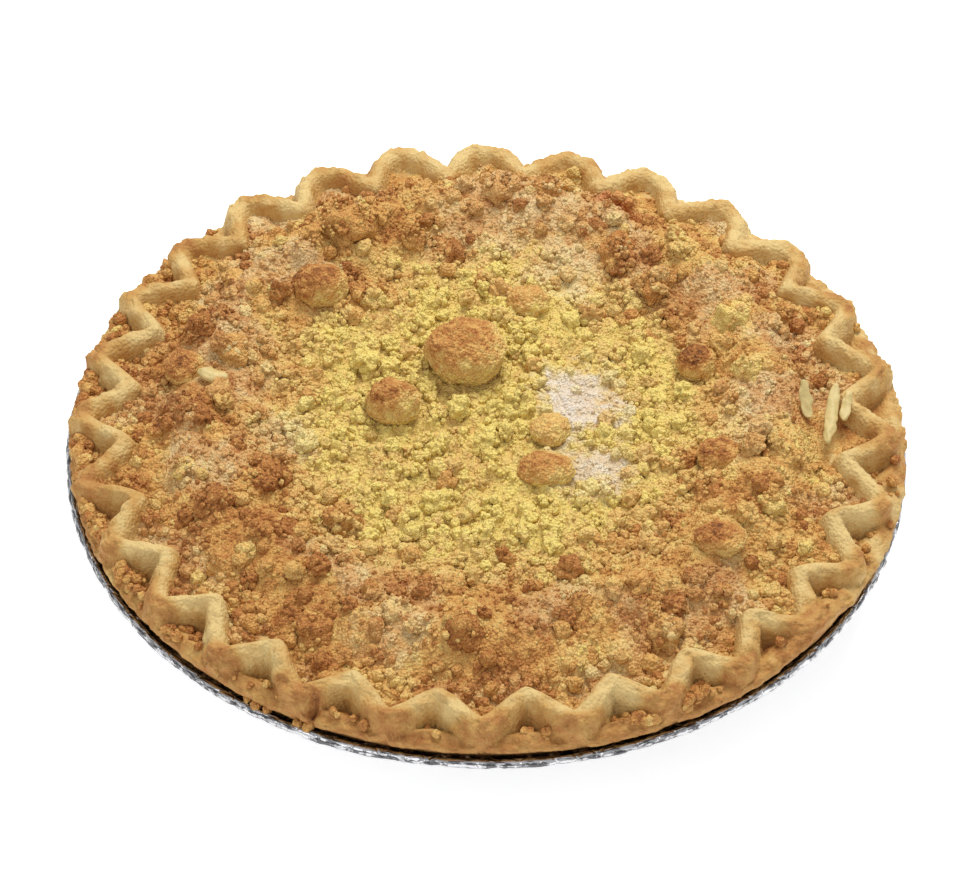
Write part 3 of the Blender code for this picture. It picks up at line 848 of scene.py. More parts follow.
def foil_finish():
    """Bright foil with fine creases, and painted dark reflections streaked along its rolled edge."""
    tints = colours()
    material, build, surface = shader("Crinkled foil", 0.22, 0.5)
    surface.inputs["Metallic"].default_value = 1.0
    scratches = build.noise(900.0, 4.0, 0.6)
    smudges = build.noise(60.0, 3.0)
    place = build.add("TexCoord").outputs["Object"]
    across = build.add("CombineXYZ")
    build.link(build.value("MULTIPLY", build.attribute("across"), 6.0), across.inputs["Z"])
    drawn_out = build.add("VectorMath", operation="MULTIPLY_ADD")
    build.link(place, drawn_out.inputs[0])
    drawn_out.inputs[1].default_value = (1.0, 1.0, 0.0)
    build.link(across.outputs[0], drawn_out.inputs[2])
    long_noise = build.add("TexNoise")
    build.set(long_noise, Vector=drawn_out.outputs[0], Scale=260.0, Detail=4.0, Roughness=0.65)
    colour = build.mix(build.mask(smudges, 0.35, 0.75), rgba(tints.foil), FOIL_SMUDGE)
    # Painted reflection: near-black streaks along the rolled edge stand in for the dark reflections of
    # its crinkles.
    drawn = build.mask(long_noise.outputs[0], 0.45, 0.57)
    streaks = build.value("MULTIPLY", drawn, build.attribute("rolled"))
    colour = build.mix(streaks, colour, FOIL_DARK_REFLECTION)
    build.link(colour, surface.inputs["Base Color"])
    roughness = build.value("ADD", build.value("MULTIPLY", smudges, 0.22), 0.10)
    build.link(roughness, surface.inputs["Roughness"])
    creases = build.add("TexVoronoi", feature="DISTANCE_TO_EDGE")
    build.set(creases, Vector=place, Scale=210.0)
    folded = build.mask(creases.outputs["Distance"], 0.0, 0.12)
    height = build.value("ADD", folded, build.value("MULTIPLY", scratches, 0.35))
    bump(build, surface, height, 0.0003, 0.7)
    return material


def filling_finish():
    """Moist dark red juice with darker threads of apple."""
    tints = colours()
    material, build, surface = shader("Juicy filling", 0.3, 0.5)
    threads = build.noise(340.0, 4.0, 0.6)
    colour = build.mix(build.mask(threads, 0.4, 0.7), rgba(tints.filling), rgba(tints.dark))
    build.link(colour, surface.inputs["Base Color"])
    roughness = build.value("ADD", build.value("MULTIPLY", threads, 0.4), 0.12)
    build.link(roughness, surface.inputs["Roughness"])
    bump(build, surface, threads, 0.0006, 0.7)
    return material


def apple_finish():
    """Pale dry apple with faint golden streaks."""
    tints = colours()
    material, build, surface = shader("Apple sliver", 0.5, 0.4)
    streaks = build.noise(260.0, 4.0, 0.6)
    colour = build.mix(build.mask(streaks, 0.45, 0.70), rgba(tints.apple), rgba(tints.crust))
    build.link(colour, surface.inputs["Base Color"])
    bump(build, surface, streaks, 0.0007, 0.9)
    return material


# Foil dish

def dish_outline():
    """The dish's closed outline, from its inner middle out over the rolled edge to its underside."""
    wall_run = TIN_MOUTH_RADIUS - TIN_BASE_RADIUS
    wall_rise = FLANGE_TOP - TIN_CORNER
    side_foil = FOIL * math.hypot(wall_run, wall_rise) / wall_rise
    outline = [(0.0, FOIL), (0.045, FOIL), (TIN_BASE_RADIUS - TIN_CORNER, FOIL)]
    rows = 16
    for i in range(rows + 1):
        share = i / rows
        outline.append((TIN_BASE_RADIUS + wall_run * share, TIN_CORNER + wall_rise * share))
    outline += [(TIN_MOUTH_RADIUS + 0.004, FLANGE_TOP), (TIN_MOUTH_RADIUS + 0.008, FLANGE_TOP)]
    opening = math.asin(FOIL / 2 / BEAD_RADIUS)
    sweep = math.tau - 2 * opening
    bead_points = 18
    for i in range(bead_points):
        turn = math.pi - opening - sweep * i / (bead_points - 1)
        height = FLANGE_TOP - FOIL / 2 + BEAD_RADIUS * math.sin(turn)
        outline.append((BEAD_CENTRE + BEAD_RADIUS * math.cos(turn), height))
    under_flange = FLANGE_TOP - FOIL
    outline += [(TIN_MOUTH_RADIUS + 0.004, under_flange), (TIN_MOUTH_RADIUS + side_foil, under_flange)]
    for i in range(rows):
        share = 1 - (i + 1) / rows
        height = TIN_CORNER - FOIL / 2 + (wall_rise - FOIL / 2) * share
        outline.append((TIN_BASE_RADIUS + side_foil + wall_run * share, height))
    outline += [(TIN_BASE_RADIUS - TIN_CORNER + side_foil, 0.0), (0.045, 0.0), (0.0, 0.0)]
    return outline


def crumple(angle, radius, height):
    """How far the foil is creased in or out at a place on its rolled edge."""
    along = angle * BEAD_CENTRE
    sharp = 1 - 2 * abs(wave(along, height, 330, 1.5))
    broad = wave(along, height, 120, 4.5)
    fine = 1 - 2 * abs(wave(along, height, 900, 7.5))
    return 0.5 * sharp + 0.6 * broad + 0.25 * fine - 0.5


def make_dish():
    settings = sizes()
    outline = dish_outline()
    depth = settings.foil_crumple
    flange_start = TIN_MOUTH_RADIUS + 0.001

    def place(step, number):
        radius, height = outline[number]
        angle = math.tau * step / settings.dish_steps
        if radius > flange_start:
            push = -depth * max(0.0, 0.6 - crumple(angle, radius, height))
            out = smoothstep(BEAD_CENTRE - BEAD_RADIUS - 0.002, BEAD_CENTRE, radius)
            away = radius - BEAD_CENTRE
            up = height - FLANGE_TOP
            length = max(math.hypot(away, up), 0.0005)
            radius += push * away / length * out
            height += push * up / length * out
        elif height > TIN_CORNER:
            flute = 0.5 + 0.5 * math.sin(angle * FLUTES + 3 * wave(angle, 0, 6, 2.2))
            shape = smoothstep(TIN_CORNER, 0.010, height) * (1 - smoothstep(0.024, FLANGE_TOP, height))
            radius += FLUTE_DEPTH * flute * shape
        return polar(radius, angle, height)

    mesh = turned_rings(len(outline), settings.dish_steps, "foil_dish", place)
    turns = [math.atan2(z - FLANGE_TOP, math.hypot(x, y) - BEAD_CENTRE) for x, y, z in points_of(mesh)]
    paint(mesh, "across", [BEAD_RADIUS * math.cos(turn) for turn in turns])
    radii = [math.hypot(x, y) for x, y, z in points_of(mesh).tolist()]
    # How strongly the rolled edge takes the painted dark reflections.
    roll_start, roll_full = BEAD_CENTRE - 0.004, BEAD_CENTRE - 0.002
    paint(mesh, "rolled", [0.92 * smoothstep(roll_start, roll_full, radius) for radius in radii])
    dish = new_piece("foil_dish", mesh, foil_finish(), "foil")
    mesh.set_sharp_from_angle(angle=math.radians(70))
    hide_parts("foil_tin")


# Pastry

def wall_radius(height, gap):
    """Radius of the dish's inner wall at a height, moved in by a gap."""
    share = (height - TIN_CORNER) / (FLANGE_TOP - TIN_CORNER)
    return TIN_BASE_RADIUS - gap + (TIN_MOUTH_RADIUS - TIN_BASE_RADIUS) * share


def rope(away, crest, floor):
    """Height across the round-backed ridge, at a distance from its line."""
    share = min(away / RIDGE_HALF_WIDTH, 1.0)
    return floor + (crest - floor) * math.sqrt(1 - share ** 2.2)


def lip_radius(angle, ridge):
    """Radius of the pastry's outer edge, drawn in between the bends at the back."""
    lip = LIP_RADIUS + LIP_RADIUS_RIGHT * max(0.0, math.cos(angle)) - LIP_TUCK_BACK * backness(angle)
    return max(lip, ridge + 0.0026)


def pastry_top(radius, angle, step, ridge):
    """Height of the pastry at a place: rope, inner floor, and outer pockets."""
    lip = lip_radius(angle, ridge)
    base = POCKET_FLOOR
    if radius > ridge:
        base += LOBE_RISE * nearness(angle, LOBE_ANGLE, LOBE_SPREAD)
        room = smoothstep(0.005, 0.013, lip - ridge)
        deep = room * (1 - smoothstep(ridge + 0.0035, lip - 0.003, radius))
        edge_drop = 0.0014 * smoothstep(lip - 0.003, lip, radius)
        base -= POCKET_DIG * deep * (1 - 0.6 * backness(angle)) + edge_drop
    away, crest = from_ridge(radius * math.cos(angle), radius * math.sin(angle), step)
    return rope(away, crest, base)


def pastry_outline(step):
    """The pastry's outline at one place along the rim, over the ridge to its underside."""
    angle = crimp_angle(step)
    ridge = ridge_radius(step)
    floor = FOIL + CLEARANCE
    outer = 1.3 * CLEARANCE
    inner = 1.3 * CLEARANCE + 1.15 * DOUGH
    lip = lip_radius(angle, ridge)
    foot = min(LIP_FOOT_RADIUS, lip - 0.0004)
    inside = rim_inside(angle)
    outline = [
        (0.0, floor + DOUGH),
        (wall_radius(floor + DOUGH, inner), floor + DOUGH),
        (wall_radius(FLANGE_TOP, inner), FLANGE_TOP - 0.0010),
        (inside, FLANGE_TOP + 0.0008),
        (inside, POCKET_FLOOR - 0.0008),
    ]
    across = [inside + (ridge - inside) * i / RIM_INNER_POINTS for i in range(RIM_INNER_POINTS)]
    across += [ridge + (lip - ridge) * i / RIM_OUTER_POINTS for i in range(RIM_OUTER_POINTS + 1)]
    outline += [(radius, pastry_top(radius, angle, step, ridge)) for radius in across]
    last = outline[-1][1]
    outline += [
        (lip + 0.0003, last - 0.0009),
        (lip + 0.0002, last - 0.0022),
        (0.5 * lip + 0.5 * foot, FLANGE_TOP + 0.0018),
        (foot, FLANGE_TOP + CLEARANCE),
        (wall_radius(FLANGE_TOP, outer), FLANGE_TOP + CLEARANCE),
        (TIN_BASE_RADIUS - outer, TIN_CORNER + CLEARANCE),
        (TIN_BASE_RADIUS - TIN_CORNER - CLEARANCE, floor),
        (0.0, floor),
    ]
    return outline


def make_pastry():
    settings = sizes()
    steps = CRIMPS * settings.rim_steps
    outlines = [pastry_outline(i / settings.rim_steps) for i in range(steps)]
    first_shown = 5
    last_shown = len(outlines[0]) - 5

    def place(step, number):
        radius, height = outlines[step][number]
        angle = crimp_angle(step / settings.rim_steps)
        spot = polar(radius, angle, height)
        if first_shown <= number < last_shown:
            broad = 0.00085 * noise.noise(spot * 110)
            soft = 0.00085 * noise.noise(spot * 260)
            rough = 0.00055 * noise.noise(spot * 560) + 0.00030 * noise.noise(spot * 1200)
            crack = nearness(angle, CRACK_ANGLE, 0.006) * smoothstep(0.1160, 0.1185, radius)
            spot.z += broad + soft + rough - 0.0026 * crack
            spot += polar(soft + rough - 0.0016 * crack, angle, 0)
        return spot

    mesh = turned_rings(len(outlines[0]), steps, "pinched_crust", place)
    tones = []
    for x, y, z in points_of(mesh).tolist():
        angle = math.atan2(y, x)
        radius = math.hypot(x, y)
        step = crimp_step(angle)
        away, crest = from_ridge(x, y, step)
        beyond = radius - ridge_radius(step)
        on_ridge = 1 - smoothstep(0.35, 0.95, away / RIDGE_HALF_WIDTH)
        to_side = abs(math.cos(angle))
        tone = 0.16 + 0.22 * (1 - on_ridge) * smoothstep(-0.002, 0.001, beyond)
        # Painted shade: the deep corners of the outer pockets are darker.
        tone += 0.42 * smoothstep(0.0366, 0.0340, z) * (1 - smoothstep(0.0135, 0.0150, radius - 0.1040))
        tone += (0.10 + 0.34 * to_side) * on_ridge * smoothstep(0.1125, 0.1175, radius)
        # Partly painted shade, partly browning: the low outer face of the lip, which faces down and out,
        # is darker.
        tone += 0.40 * (1 - smoothstep(0.0328, 0.0356, z)) * (radius > 0.115)
        tone += 0.20 * smoothstep(-0.002, -0.0045, beyond)
        # Partly painted shade, partly browning: the outer edge is darker towards the front, which faces
        # away from the key light.
        tone += 0.54 * smoothstep(0.1150, 0.1185, radius) * max(0.0, -math.sin(angle))
        tone += 0.42 * wave(x, y, 60, 12.5) + 0.44 * wave(x, y, 210, 14.5)
        tone = min(tone, MOST_BROWNED)
        tone += 0.4 * nearness(angle, CRACK_ANGLE, 0.008) * smoothstep(0.1150, 0.1180, radius)
        tones.append(tone)
    paint(mesh, "tone", tones)
    crust = new_piece("pinched_crust", mesh, pastry_finish(), "pastry")
    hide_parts("pastry_crust")


# Crumb topping

def disc_grid(cells):
    """A square grid drawn into a disc of radius 1."""
    form = bmesh.new()
    bmesh.ops.create_grid(form, x_segments=cells, y_segments=cells, size=1.0)
    for vertex in form.verts:
        x, y = vertex.co.x, vertex.co.y
        if abs(x) < 1e-9 and abs(y) < 1e-9:
            continue
        if abs(x) > abs(y):
            radius, angle = x, math.pi / 4 * y / x
        else:
            radius, angle = y, math.pi / 2 - math.pi / 4 * x / y
        vertex.co = polar(radius, angle, 0)
    return form


def make_bed():
    """The topping's own body, which the loose crumbs lie on."""
    form = disc_grid(sizes().bed_cells)
    rim = [edge for edge in form.edges if edge.is_boundary]
    skirt = bmesh.ops.extrude_edge_only(form, edges=rim)["geom"]
    foot = [item for item in skirt if isinstance(item, bmesh.types.BMVert)]
    below = set(foot)
    for vertex in form.verts:
        angle = math.atan2(vertex.co.y, vertex.co.x)
        share = math.hypot(vertex.co.x, vertex.co.y)
        blend = smoothstep(0.78, 1.0, share)
        reach = rim_inside(angle) * (1 - blend) + topping_reach(angle) * blend
        vertex.co = polar(share * reach, angle, 0)
        if vertex in below:
            vertex.co = polar(rim_inside(angle) - CLEARANCE, angle, TOPPING_BOTTOM)
    hollow_shades = []
    for vertex in form.verts:
        hollow = 0.0
        if vertex not in below:
            vertex.co.z, hollow = bed_height(vertex.co.x, vertex.co.y)
        hollow_shades.append(hollow)
    foot_edges = [item for item in skirt if isinstance(item, bmesh.types.BMEdge)]
    floor_edges = [edge for edge in foot_edges if edge.verts[0] in below and edge.verts[1] in below]
    bmesh.ops.contextual_create(form, geom=floor_edges)
    bmesh.ops.recalc_face_normals(form, faces=form.faces)
    mesh = mesh_from(form, "crumb_bed")
    colour_crumbs(mesh, hollow_shades)
    bed = new_piece("crumb_bed", mesh, crumb_finish(), "crumb")
    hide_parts("crumb_topping")


def colour_crumbs(mesh, hollow_shades):
    tones = []
    soaked = []
    stains = []
    for x, y, z in points_of(mesh).tolist():
        tones.append(baked(x, y, z - topping_top(x, y)))
        soaked.append(max(syrup_at(x, y), 0.40 * cast_at(x, y)))
        stains.append(0.85 * stained_at(x, y))
    paint_crumb(mesh, tones, soaked, stains, hollow_shades)


def crumb_shape(detail, seed, unevenness, knob_count, knob_depth):
    """One crumb of radius 1: its points and faces."""
    form = bmesh.new()
    bmesh.ops.create_icosphere(form, subdivisions=detail, radius=1.0)
    shift = Vector((seed * 7.3, seed * 3.1, seed))
    for vertex in form.verts:
        swell = 1 + unevenness * noise.noise(vertex.co * 1.7 + shift)
        if knob_depth:
            distances, _ = noise.voronoi(vertex.co * knob_count + shift)
            swell += knob_depth * (math.sqrt(max(0.0, 1 - (distances[0] / 0.75) ** 2)) - 0.7)
        vertex.co *= swell
    mesh = mesh_from(form, "crumb_shape")
    faces = np.array([tuple(face.vertices) for face in mesh.polygons])
    points = points_of(mesh).copy()
    bpy.data.meshes.remove(mesh)
    return points, faces


def join_crumbs(name, shapes, places, slot):
    """One mesh of many crumbs. Each place is centre, radius, tone and how soaked it is."""
    draw = random.Random(name)
    points, faces, tones, soaked, hollow_shades, stains = [], [], [], [], [], []
    start = 0
    for number, (centre, radius, tone, syrup) in enumerate(places):
        shape, sides = shapes[number % len(shapes)]
        turn = Euler([draw.uniform(0, math.tau) for _ in range(3)]).to_matrix()
        stretch = Matrix.Diagonal([draw.uniform(0.82, 1.15) for _ in range(3)])
        lay = np.array(turn @ stretch) * radius
        laid = shape @ lay.T
        laid[:, 2] = np.minimum(laid[:, 2], CAD_BOX[1][2] - TOP_GAP - centre[2])
        height = laid[:, 2] / radius
        points.append(laid + np.array(centre))
        faces.append(sides + start)
        start += len(shape)
        # Pale crumbs are made paler on top as a painted highlight, baked ones browner on top where they
        # bake most, and each crumb's underside is marked hollow for painted shade.
        tones.append(np.clip(tone + 0.34 * (tone - 0.26) * height, 0, 0.80))
        hollow_shades.append(np.clip(-0.8 * height, 0, 1))
        soaked.append(np.full(len(shape), syrup))
        stains.append(np.full(len(shape), 0.75 * stained_at(centre.x, centre.y)))
    mesh = bpy.data.meshes.new(name)
    mesh.from_pydata(np.concatenate(points).tolist(), [], np.concatenate(faces).tolist())
    paint_crumb(mesh, *(np.concatenate(rows) for rows in (tones, soaked, stains, hollow_shades)))
    return new_piece(name, mesh, crumb_finish(), slot)


def lump_boxes():
    """Centre and half size of each large lump."""
    boxes = {}
    for name in LUMPS:
        low, high = (Vector(corner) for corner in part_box(name))
        boxes[name] = ((low + high) / 2, (high - low) / 2)
    return boxes


def solid_crumbs():
    """The crumbs that the topping's solid has, in the same places: centre, radius and detail."""
    draw = random.Random(CRUMB_SEED)
    places = [(Vector((x, y, 0)), radius, 2) for x, y, radius in FUSED_LUMPS]
    for i in range(LARGE_CRUMBS):
        radius = draw.uniform(*LARGE_CRUMB_RADIUS)
        angle = math.tau * (i + draw.uniform(-0.3, 0.3)) / LARGE_CRUMBS
        away = rim_inside(angle) - draw.uniform(0.006, 0.024)
        places.append((polar(away, angle, 0), radius, 2))
    for i in range(SMALL_CRUMBS):
        radius = draw.uniform(*SMALL_CRUMB_RADIUS)
        angle = i * GOLDEN_ANGLE + draw.uniform(-0.05, 0.05)
        away = (rim_inside(angle) - 0.004) * math.sqrt((i + 0.5) / SMALL_CRUMBS)
        places.append((polar(away, angle, 0), radius, 1))
    for i in range(CRIMPS):
        radius = draw.uniform(*POCKET_CRUMB_RADIUS)
        angle = crimp_angle(i + 0.5 + draw.uniform(-0.12, 0.12))
        away = rim_inside(angle) + draw.uniform(-0.0005, 0.0020)
        places.append((polar(away, angle, 0), radius, 1))
    return places


SOLID_CRUMBS = solid_crumbs()


def fused_top(x, y):
    """Height of the top of a large fused lump, or 0 where there is none."""
    top = 0.0
    for place, radius, kind in SOLID_CRUMBS:
        away = (x - place.x) ** 2 + (y - place.y) ** 2
        if kind == 2 and away < 0.8 * radius * radius:
            middle = topping_top(place.x, place.y) - 0.30 * radius
            top = max(top, middle + 0.94 * math.sqrt(radius * radius - away))
    return top


def under_lump(place, boxes, room):
    """Whether a place is taken by a separate lump, a sliver or the split."""
    before_sliver = sliver_near(place.x, place.y + 0.0025)
    if split_at(place.x, place.y) > 0.0 or max(before_sliver, sliver_near(place.x, place.y)) > 0.3:
        return True
    for centre, half in boxes.values():
        if math.hypot(place.x - centre.x, place.y - centre.y) < max(half.x, half.y) * room:
            return True
    return False


def crumb_place(radius_from_centre, angle, size, draw, lift, tone_spread):
    """A crumb that sits on the topping's surface: centre, radius, tone and how soaked it is."""
    spot = polar(radius_from_centre, angle, 0)
    spot.z = max(bed_height(spot.x, spot.y)[0], fused_top(spot.x, spot.y)) + lift * size
    spot.z = min(spot.z, CAD_BOX[1][2] - 1.5 * size)
    tone = baked(spot.x, spot.y, 0.6 * size) + draw.gauss(0, tone_spread)
    soaked = max(0.7 * syrup_at(spot.x, spot.y), 0.22 * cast_at(spot.x, spot.y))
    return spot, size, min(tone, MOST_BROWNED), soaked


def scatter_pale(draw, boxes, count):
    """Fine crumbs in the middle, fused in rounded heaps of a few each."""
    places = []
    while len(places) < count:
        middle = polar(PALE_REACH * math.sqrt(draw.random()), draw.uniform(0, math.tau), 0)
        if syrup_at(middle.x, middle.y) > draw.uniform(0.18, 0.80):
            continue
        spread = draw.uniform(0.0012, 0.0026)
        hump = draw.uniform(0.2, 0.75) * spread
        for _ in range(draw.randint(5, 13)):
            spot = middle + Vector((draw.gauss(0, 0.7 * spread), draw.gauss(0, 0.7 * spread), 0))
            if under_lump(spot, boxes, 0.8):
                continue
            size = draw.uniform(*PALE_RADIUS) * draw.uniform(0.8, 1.15)
            far = math.hypot(spot.x, spot.y)
            place, size, tone, soaked = crumb_place(
                far, math.atan2(spot.y, spot.x), size, draw, draw.uniform(-0.45, 0.35), 0.05)
            place.z += hump * math.exp(-((spot - middle).length / spread) ** 2)
            places.append((place, size, tone, soaked))
    return places[:count]


def scatter_ring(draw, boxes, count):
    """Fine crumbs on the ring and spilt into the inner pockets."""
    places = []
    tries = 0
    while len(places) < count:
        tries += 1
        angle = tries * GOLDEN_ANGLE + draw.uniform(-0.1, 0.1)
        share = math.sqrt(draw.uniform(0.30, 1.0)) if tries % 3 else draw.uniform(0.90, 1.0)
        away = share * (topping_reach(angle) - 0.0015)
        spot = polar(away, angle, 0)
        if under_lump(spot, boxes, 0.85) or syrup_at(spot.x, spot.y) > draw.uniform(0.3, 0.9):
            continue
        if away > rim_inside(angle) + 0.002 and draw.random() < 1.2 * backness(angle):
            continue
        outside = smoothstep(0.092, 0.100, away)
        size = draw.uniform(*RING_RADIUS) * (1 + 0.6 * outside) * draw.uniform(0.85, 1.25)
        places.append(crumb_place(away, angle, size, draw, draw.uniform(-0.5, 0.35), 0.10))
    return places


def scatter_clusters(draw, boxes, count):
    """Knobbly crumbs a few millimetres across, all over."""
    places = []
    tries = 0
    while len(places) < count:
        tries += 1
        angle = tries * GOLDEN_ANGLE + draw.uniform(-0.2, 0.2)
        away = math.sqrt(draw.uniform(0.0, 1.0)) * (topping_reach(angle) - 0.003)
        spot = polar(away, angle, 0)
        if under_lump(spot, boxes, 1.05) or syrup_at(spot.x, spot.y) > draw.uniform(0.1, 0.7):
            continue
        least = draw.uniform(-0.45, 0.15) + 0.2 * smoothstep(0.055, 0.075, away)
        if wave(spot.x, spot.y, 90, 31.0) < least:
            continue
        size = draw.choice(CLUSTER_RADII) * draw.uniform(*SIZE_SPREAD)
        orange = 0.22 if draw.random() < 0.16 else 0.0
        lift = draw.uniform(-0.35, 0.20)
        spot, size, tone, soaked = crumb_place(away, angle, size, draw, lift, 0.06)
        places.append((spot, size, tone + orange, soaked))
    return places


def scatter_heaps(draw, boxes, count):
    """Knobbly heaps of crumb stuck together, mostly in the middle."""
    places = []
    while len(places) < count:
        angle = draw.uniform(0, math.tau)
        away = HEAP_REACH * draw.random() ** 0.62
        size = draw.uniform(*HEAP_RADIUS) * draw.uniform(*SIZE_SPREAD)
        spot = polar(away, angle, 0)
        if under_lump(spot, boxes, 1.15) or syrup_at(spot.x, spot.y) > draw.uniform(0.1, 0.5):
            continue
        if any((spot - other[0].xy.to_3d()).length < 0.8 * (size + other[1]) for other in places):
            continue
        lift = draw.uniform(-0.15, 0.25)
        spot, size, tone, soaked = crumb_place(away, angle, size, draw, lift, 0.06)
        orange = 0.30 if draw.random() < 0.20 + 0.20 * smoothstep(0.035, 0.06, away) else 0.0
        least = 0.22 * smoothstep(0.055, 0.075, away)
        places.append((spot, size, max(tone - 0.05, least) + orange, soaked))
    return places


def scatter_dust(draw, boxes, count):
    """The finest crumbs, all over the topping."""
    places = []
    while len(places) < count:
        angle = draw.uniform(0, math.tau)
        away = math.sqrt(draw.random()) * (topping_reach(angle) - 0.001)
        spot = polar(away, angle, 0)
        if under_lump(spot, boxes, 0.9) or syrup_at(spot.x, spot.y) > draw.uniform(0.25, 1.05):
            continue
        size = draw.uniform(*DUST_RADIUS)
        lift = draw.uniform(-0.4, 0.45)
        spot, size, tone, soaked = crumb_place(away, angle, size, draw, lift, 0.07)
        places.append((spot, size, tone, 1.4 * soaked))
    return places


def scatter_pockets(draw, count):
    """Browned crumbs that lie in the outer pockets of the pinched rim, most of them at the left."""
    edge_top = FLANGE_TOP + 0.0012
    places = [(polar(away, angle, edge_top), size, 0.56, 0.0) for angle, away, size in EDGE_BITS]
    while len(places) < count:
        angle = draw.uniform(0, math.tau)
        left = nearness(angle, math.radians(182), math.radians(30))
        front = nearness(angle, math.radians(294), math.radians(5))
        if draw.random() > max(left, 0.7 * front, 0.03 * (1 - backness(angle))):
            continue
        step = crimp_step(angle)
        ridge = ridge_radius(step)
        radius = draw.uniform(ridge + 0.003, lip_radius(angle, ridge) - 0.001)
        size = draw.choice(POCKET_RADII) * draw.uniform(*SIZE_SPREAD)
        spot = polar(radius, angle, 0)
        if radius < ridge + 0.003 or from_ridge(spot.x, spot.y, step)[0] < 0.0037:
            continue
        spot.z = pastry_top(radius, angle, step, ridge) + draw.uniform(0.1, 1.1) * size
        places.append((spot, size, 0.58 + draw.gauss(0.0, 0.12), 0.0))
    return places


def blocked(place, radius, boxes):
    """Whether a crumb would cross a separate lump, a sliver or the split."""
    for centre, half in boxes.values():
        if math.hypot(place.x - centre.x, place.y - centre.y) < max(half.x, half.y) + 0.75 * radius:
            return True
    return sliver_near(place.x, place.y) > 0.3 or split_at(place.x, place.y) > 0.02


def scatter_solid(draw, boxes, detail):
    """Crumbs at the places of the solid's own, the large ones sunk a little."""
    places = []
    for number, (place, radius, kind) in enumerate(SOLID_CRUMBS):
        if kind != detail or number >= len(FUSED_LUMPS) and blocked(place, radius, boxes):
            continue
        sink = 0.30 if kind == 2 else -0.05
        spot = Vector((place.x, place.y, topping_top(place.x, place.y) - sink * radius))
        tone = baked(spot.x, spot.y, 0.15 * radius) + draw.gauss(0.0, 0.06)
        fit = 0.96 if kind == 2 else 0.80
        fit *= 1 - 0.10 * backness(math.atan2(spot.y, spot.x))
        places.append((spot, radius * fit, tone, 0.5 * syrup_at(spot.x, spot.y)))
    return places


def make_crumbs():
    settings = sizes()
    boxes = lump_boxes()
    dust = [crumb_shape(1, seed, 0.30, 0, 0) for seed in range(6)]
    grains = [crumb_shape(2, seed, 0.45, 0, 0) for seed in range(12)]
    knobbly = [crumb_shape(3, seed, 0.35, 1.9, 0.30) for seed in range(14)]
    heaped = [crumb_shape(4, seed + 40, 0.45, 2.2, 0.42) for seed in range(16)]
    sandy = [crumb_shape(4, seed + 20, 0.38, 4.6, 0.13) for seed in range(12)]
    draws = {name: random.Random(seed) for name, seed in SCATTER_SEEDS.items()}
    lumps = scatter_solid(draws["lumps"], boxes, 2)
    own = scatter_solid(draws["own"], boxes, 1)
    pockets = scatter_pockets(draws["pockets"], settings.pocket_grains)
    clusters = scatter_clusters(draws["clusters"], boxes, settings.clusters - len(own))
    for name, shapes, places, slot in (
        ("ring_lumps", sandy, lumps, "browned_crumb"),
        ("crumb_dust", dust, scatter_dust(draws["dust"], boxes, settings.dust_grains), "crumb"),
        ("crumb_heaps", heaped, scatter_heaps(draws["heaps"], boxes, settings.heaps), "crumb"),
        ("pale_grains", grains, scatter_pale(draws["pale"], boxes, settings.pale_grains), "crumb"),
        ("ring_grains", grains, scatter_ring(draws["ring"], boxes, settings.ring_grains), "crumb"),
        ("pocket_crumbs", grains, pockets, "browned_crumb"),
        ("crumb_clusters", knobbly, own + clusters, "crumb"),
    ):
        join_crumbs(name, shapes, places, slot)


def make_lumps():
    """The large lumps of crumb, each standing for its own solid."""
    for seed, (name, (centre, half)) in enumerate(lump_boxes().items()):
        large = max(half) > 0.011
        form = bmesh.new()
        bmesh.ops.create_icosphere(form, subdivisions=6 if large else 5, radius=1.0)
        shift = Vector((seed * 7.3, seed * 3.1, seed))
        hollow_shades = []
        tones = []
        for vertex in form.verts:
            out = vertex.co.normalized()
            spot = Vector([vertex.co[axis] * half[axis] for axis in range(3)])
            knob, _ = noise.voronoi(spot / 0.0034 + shift)
            grain, _ = noise.voronoi(spot / 0.0013 + shift)
            swell = 0.08 * noise.noise(vertex.co * 1.9 + shift)
            depth = 0.0006 * (0.45 - min(knob[0], 1.0)) + 0.0006 * (0.45 - min(grain[0], 1.0))
            depth += 0.0004 * noise.noise(spot * 420 + shift)
            vertex.co = centre + spot * (0.95 + swell) + out * depth
            vertex.co.z = min(vertex.co.z, centre.z + half.z)
            # Painted shade: the crevices between the grains of the lump are marked hollow, to be
            # darkened.
            hollow_shades.append(min(max(grain[0] - 0.35, 0.0) * 1.4, 1.0))
            facing = out.dot(BROWNED_SIDE) + 0.5 * noise.noise(spot * 240 + shift)
            burnt = smoothstep(-0.25, 0.95, facing)
            tone = 0.16 + 0.25 * baked(centre.x, centre.y, 0.0) + LUMP_BROWNING[name] * burnt
            tones.append(tone + 0.24 * noise.noise(spot * 520 + shift))
        mesh = mesh_from(form, name)
        dry = np.zeros(len(tones))
        paint_crumb(mesh, tones, dry, dry, hollow_shades)
        lump = new_piece("baked_" + name, mesh, crumb_finish(), "browned_crumb")
        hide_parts(name)


def make_slivers():
    """Slivers of apple, from their own solids made smooth."""
    finish = apple_finish()
    for name in SLIVERS:
        form = bmesh.new()
        form.from_mesh(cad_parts[name].data)
        bmesh.ops.remove_doubles(form, verts=form.verts, dist=0.00001)
        bmesh.ops.subdivide_edges(form, edges=form.edges, cuts=3, use_grid_fill=True, smooth=0.6)
        bmesh.ops.triangulate(form, faces=form.faces)
        for vertex in form.verts:
            spot = vertex.co * 420
            push = [noise.noise(spot + Vector((0, 0, 17.3 * axis))) for axis in range(3)]
            vertex.co += 0.0007 * Vector(push)
        bmesh.ops.recalc_face_normals(form, faces=form.faces)
        sliver = new_piece("apple_" + name, mesh_from(form, "apple_" + name), finish, "apple")
        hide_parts(name)


# Stage

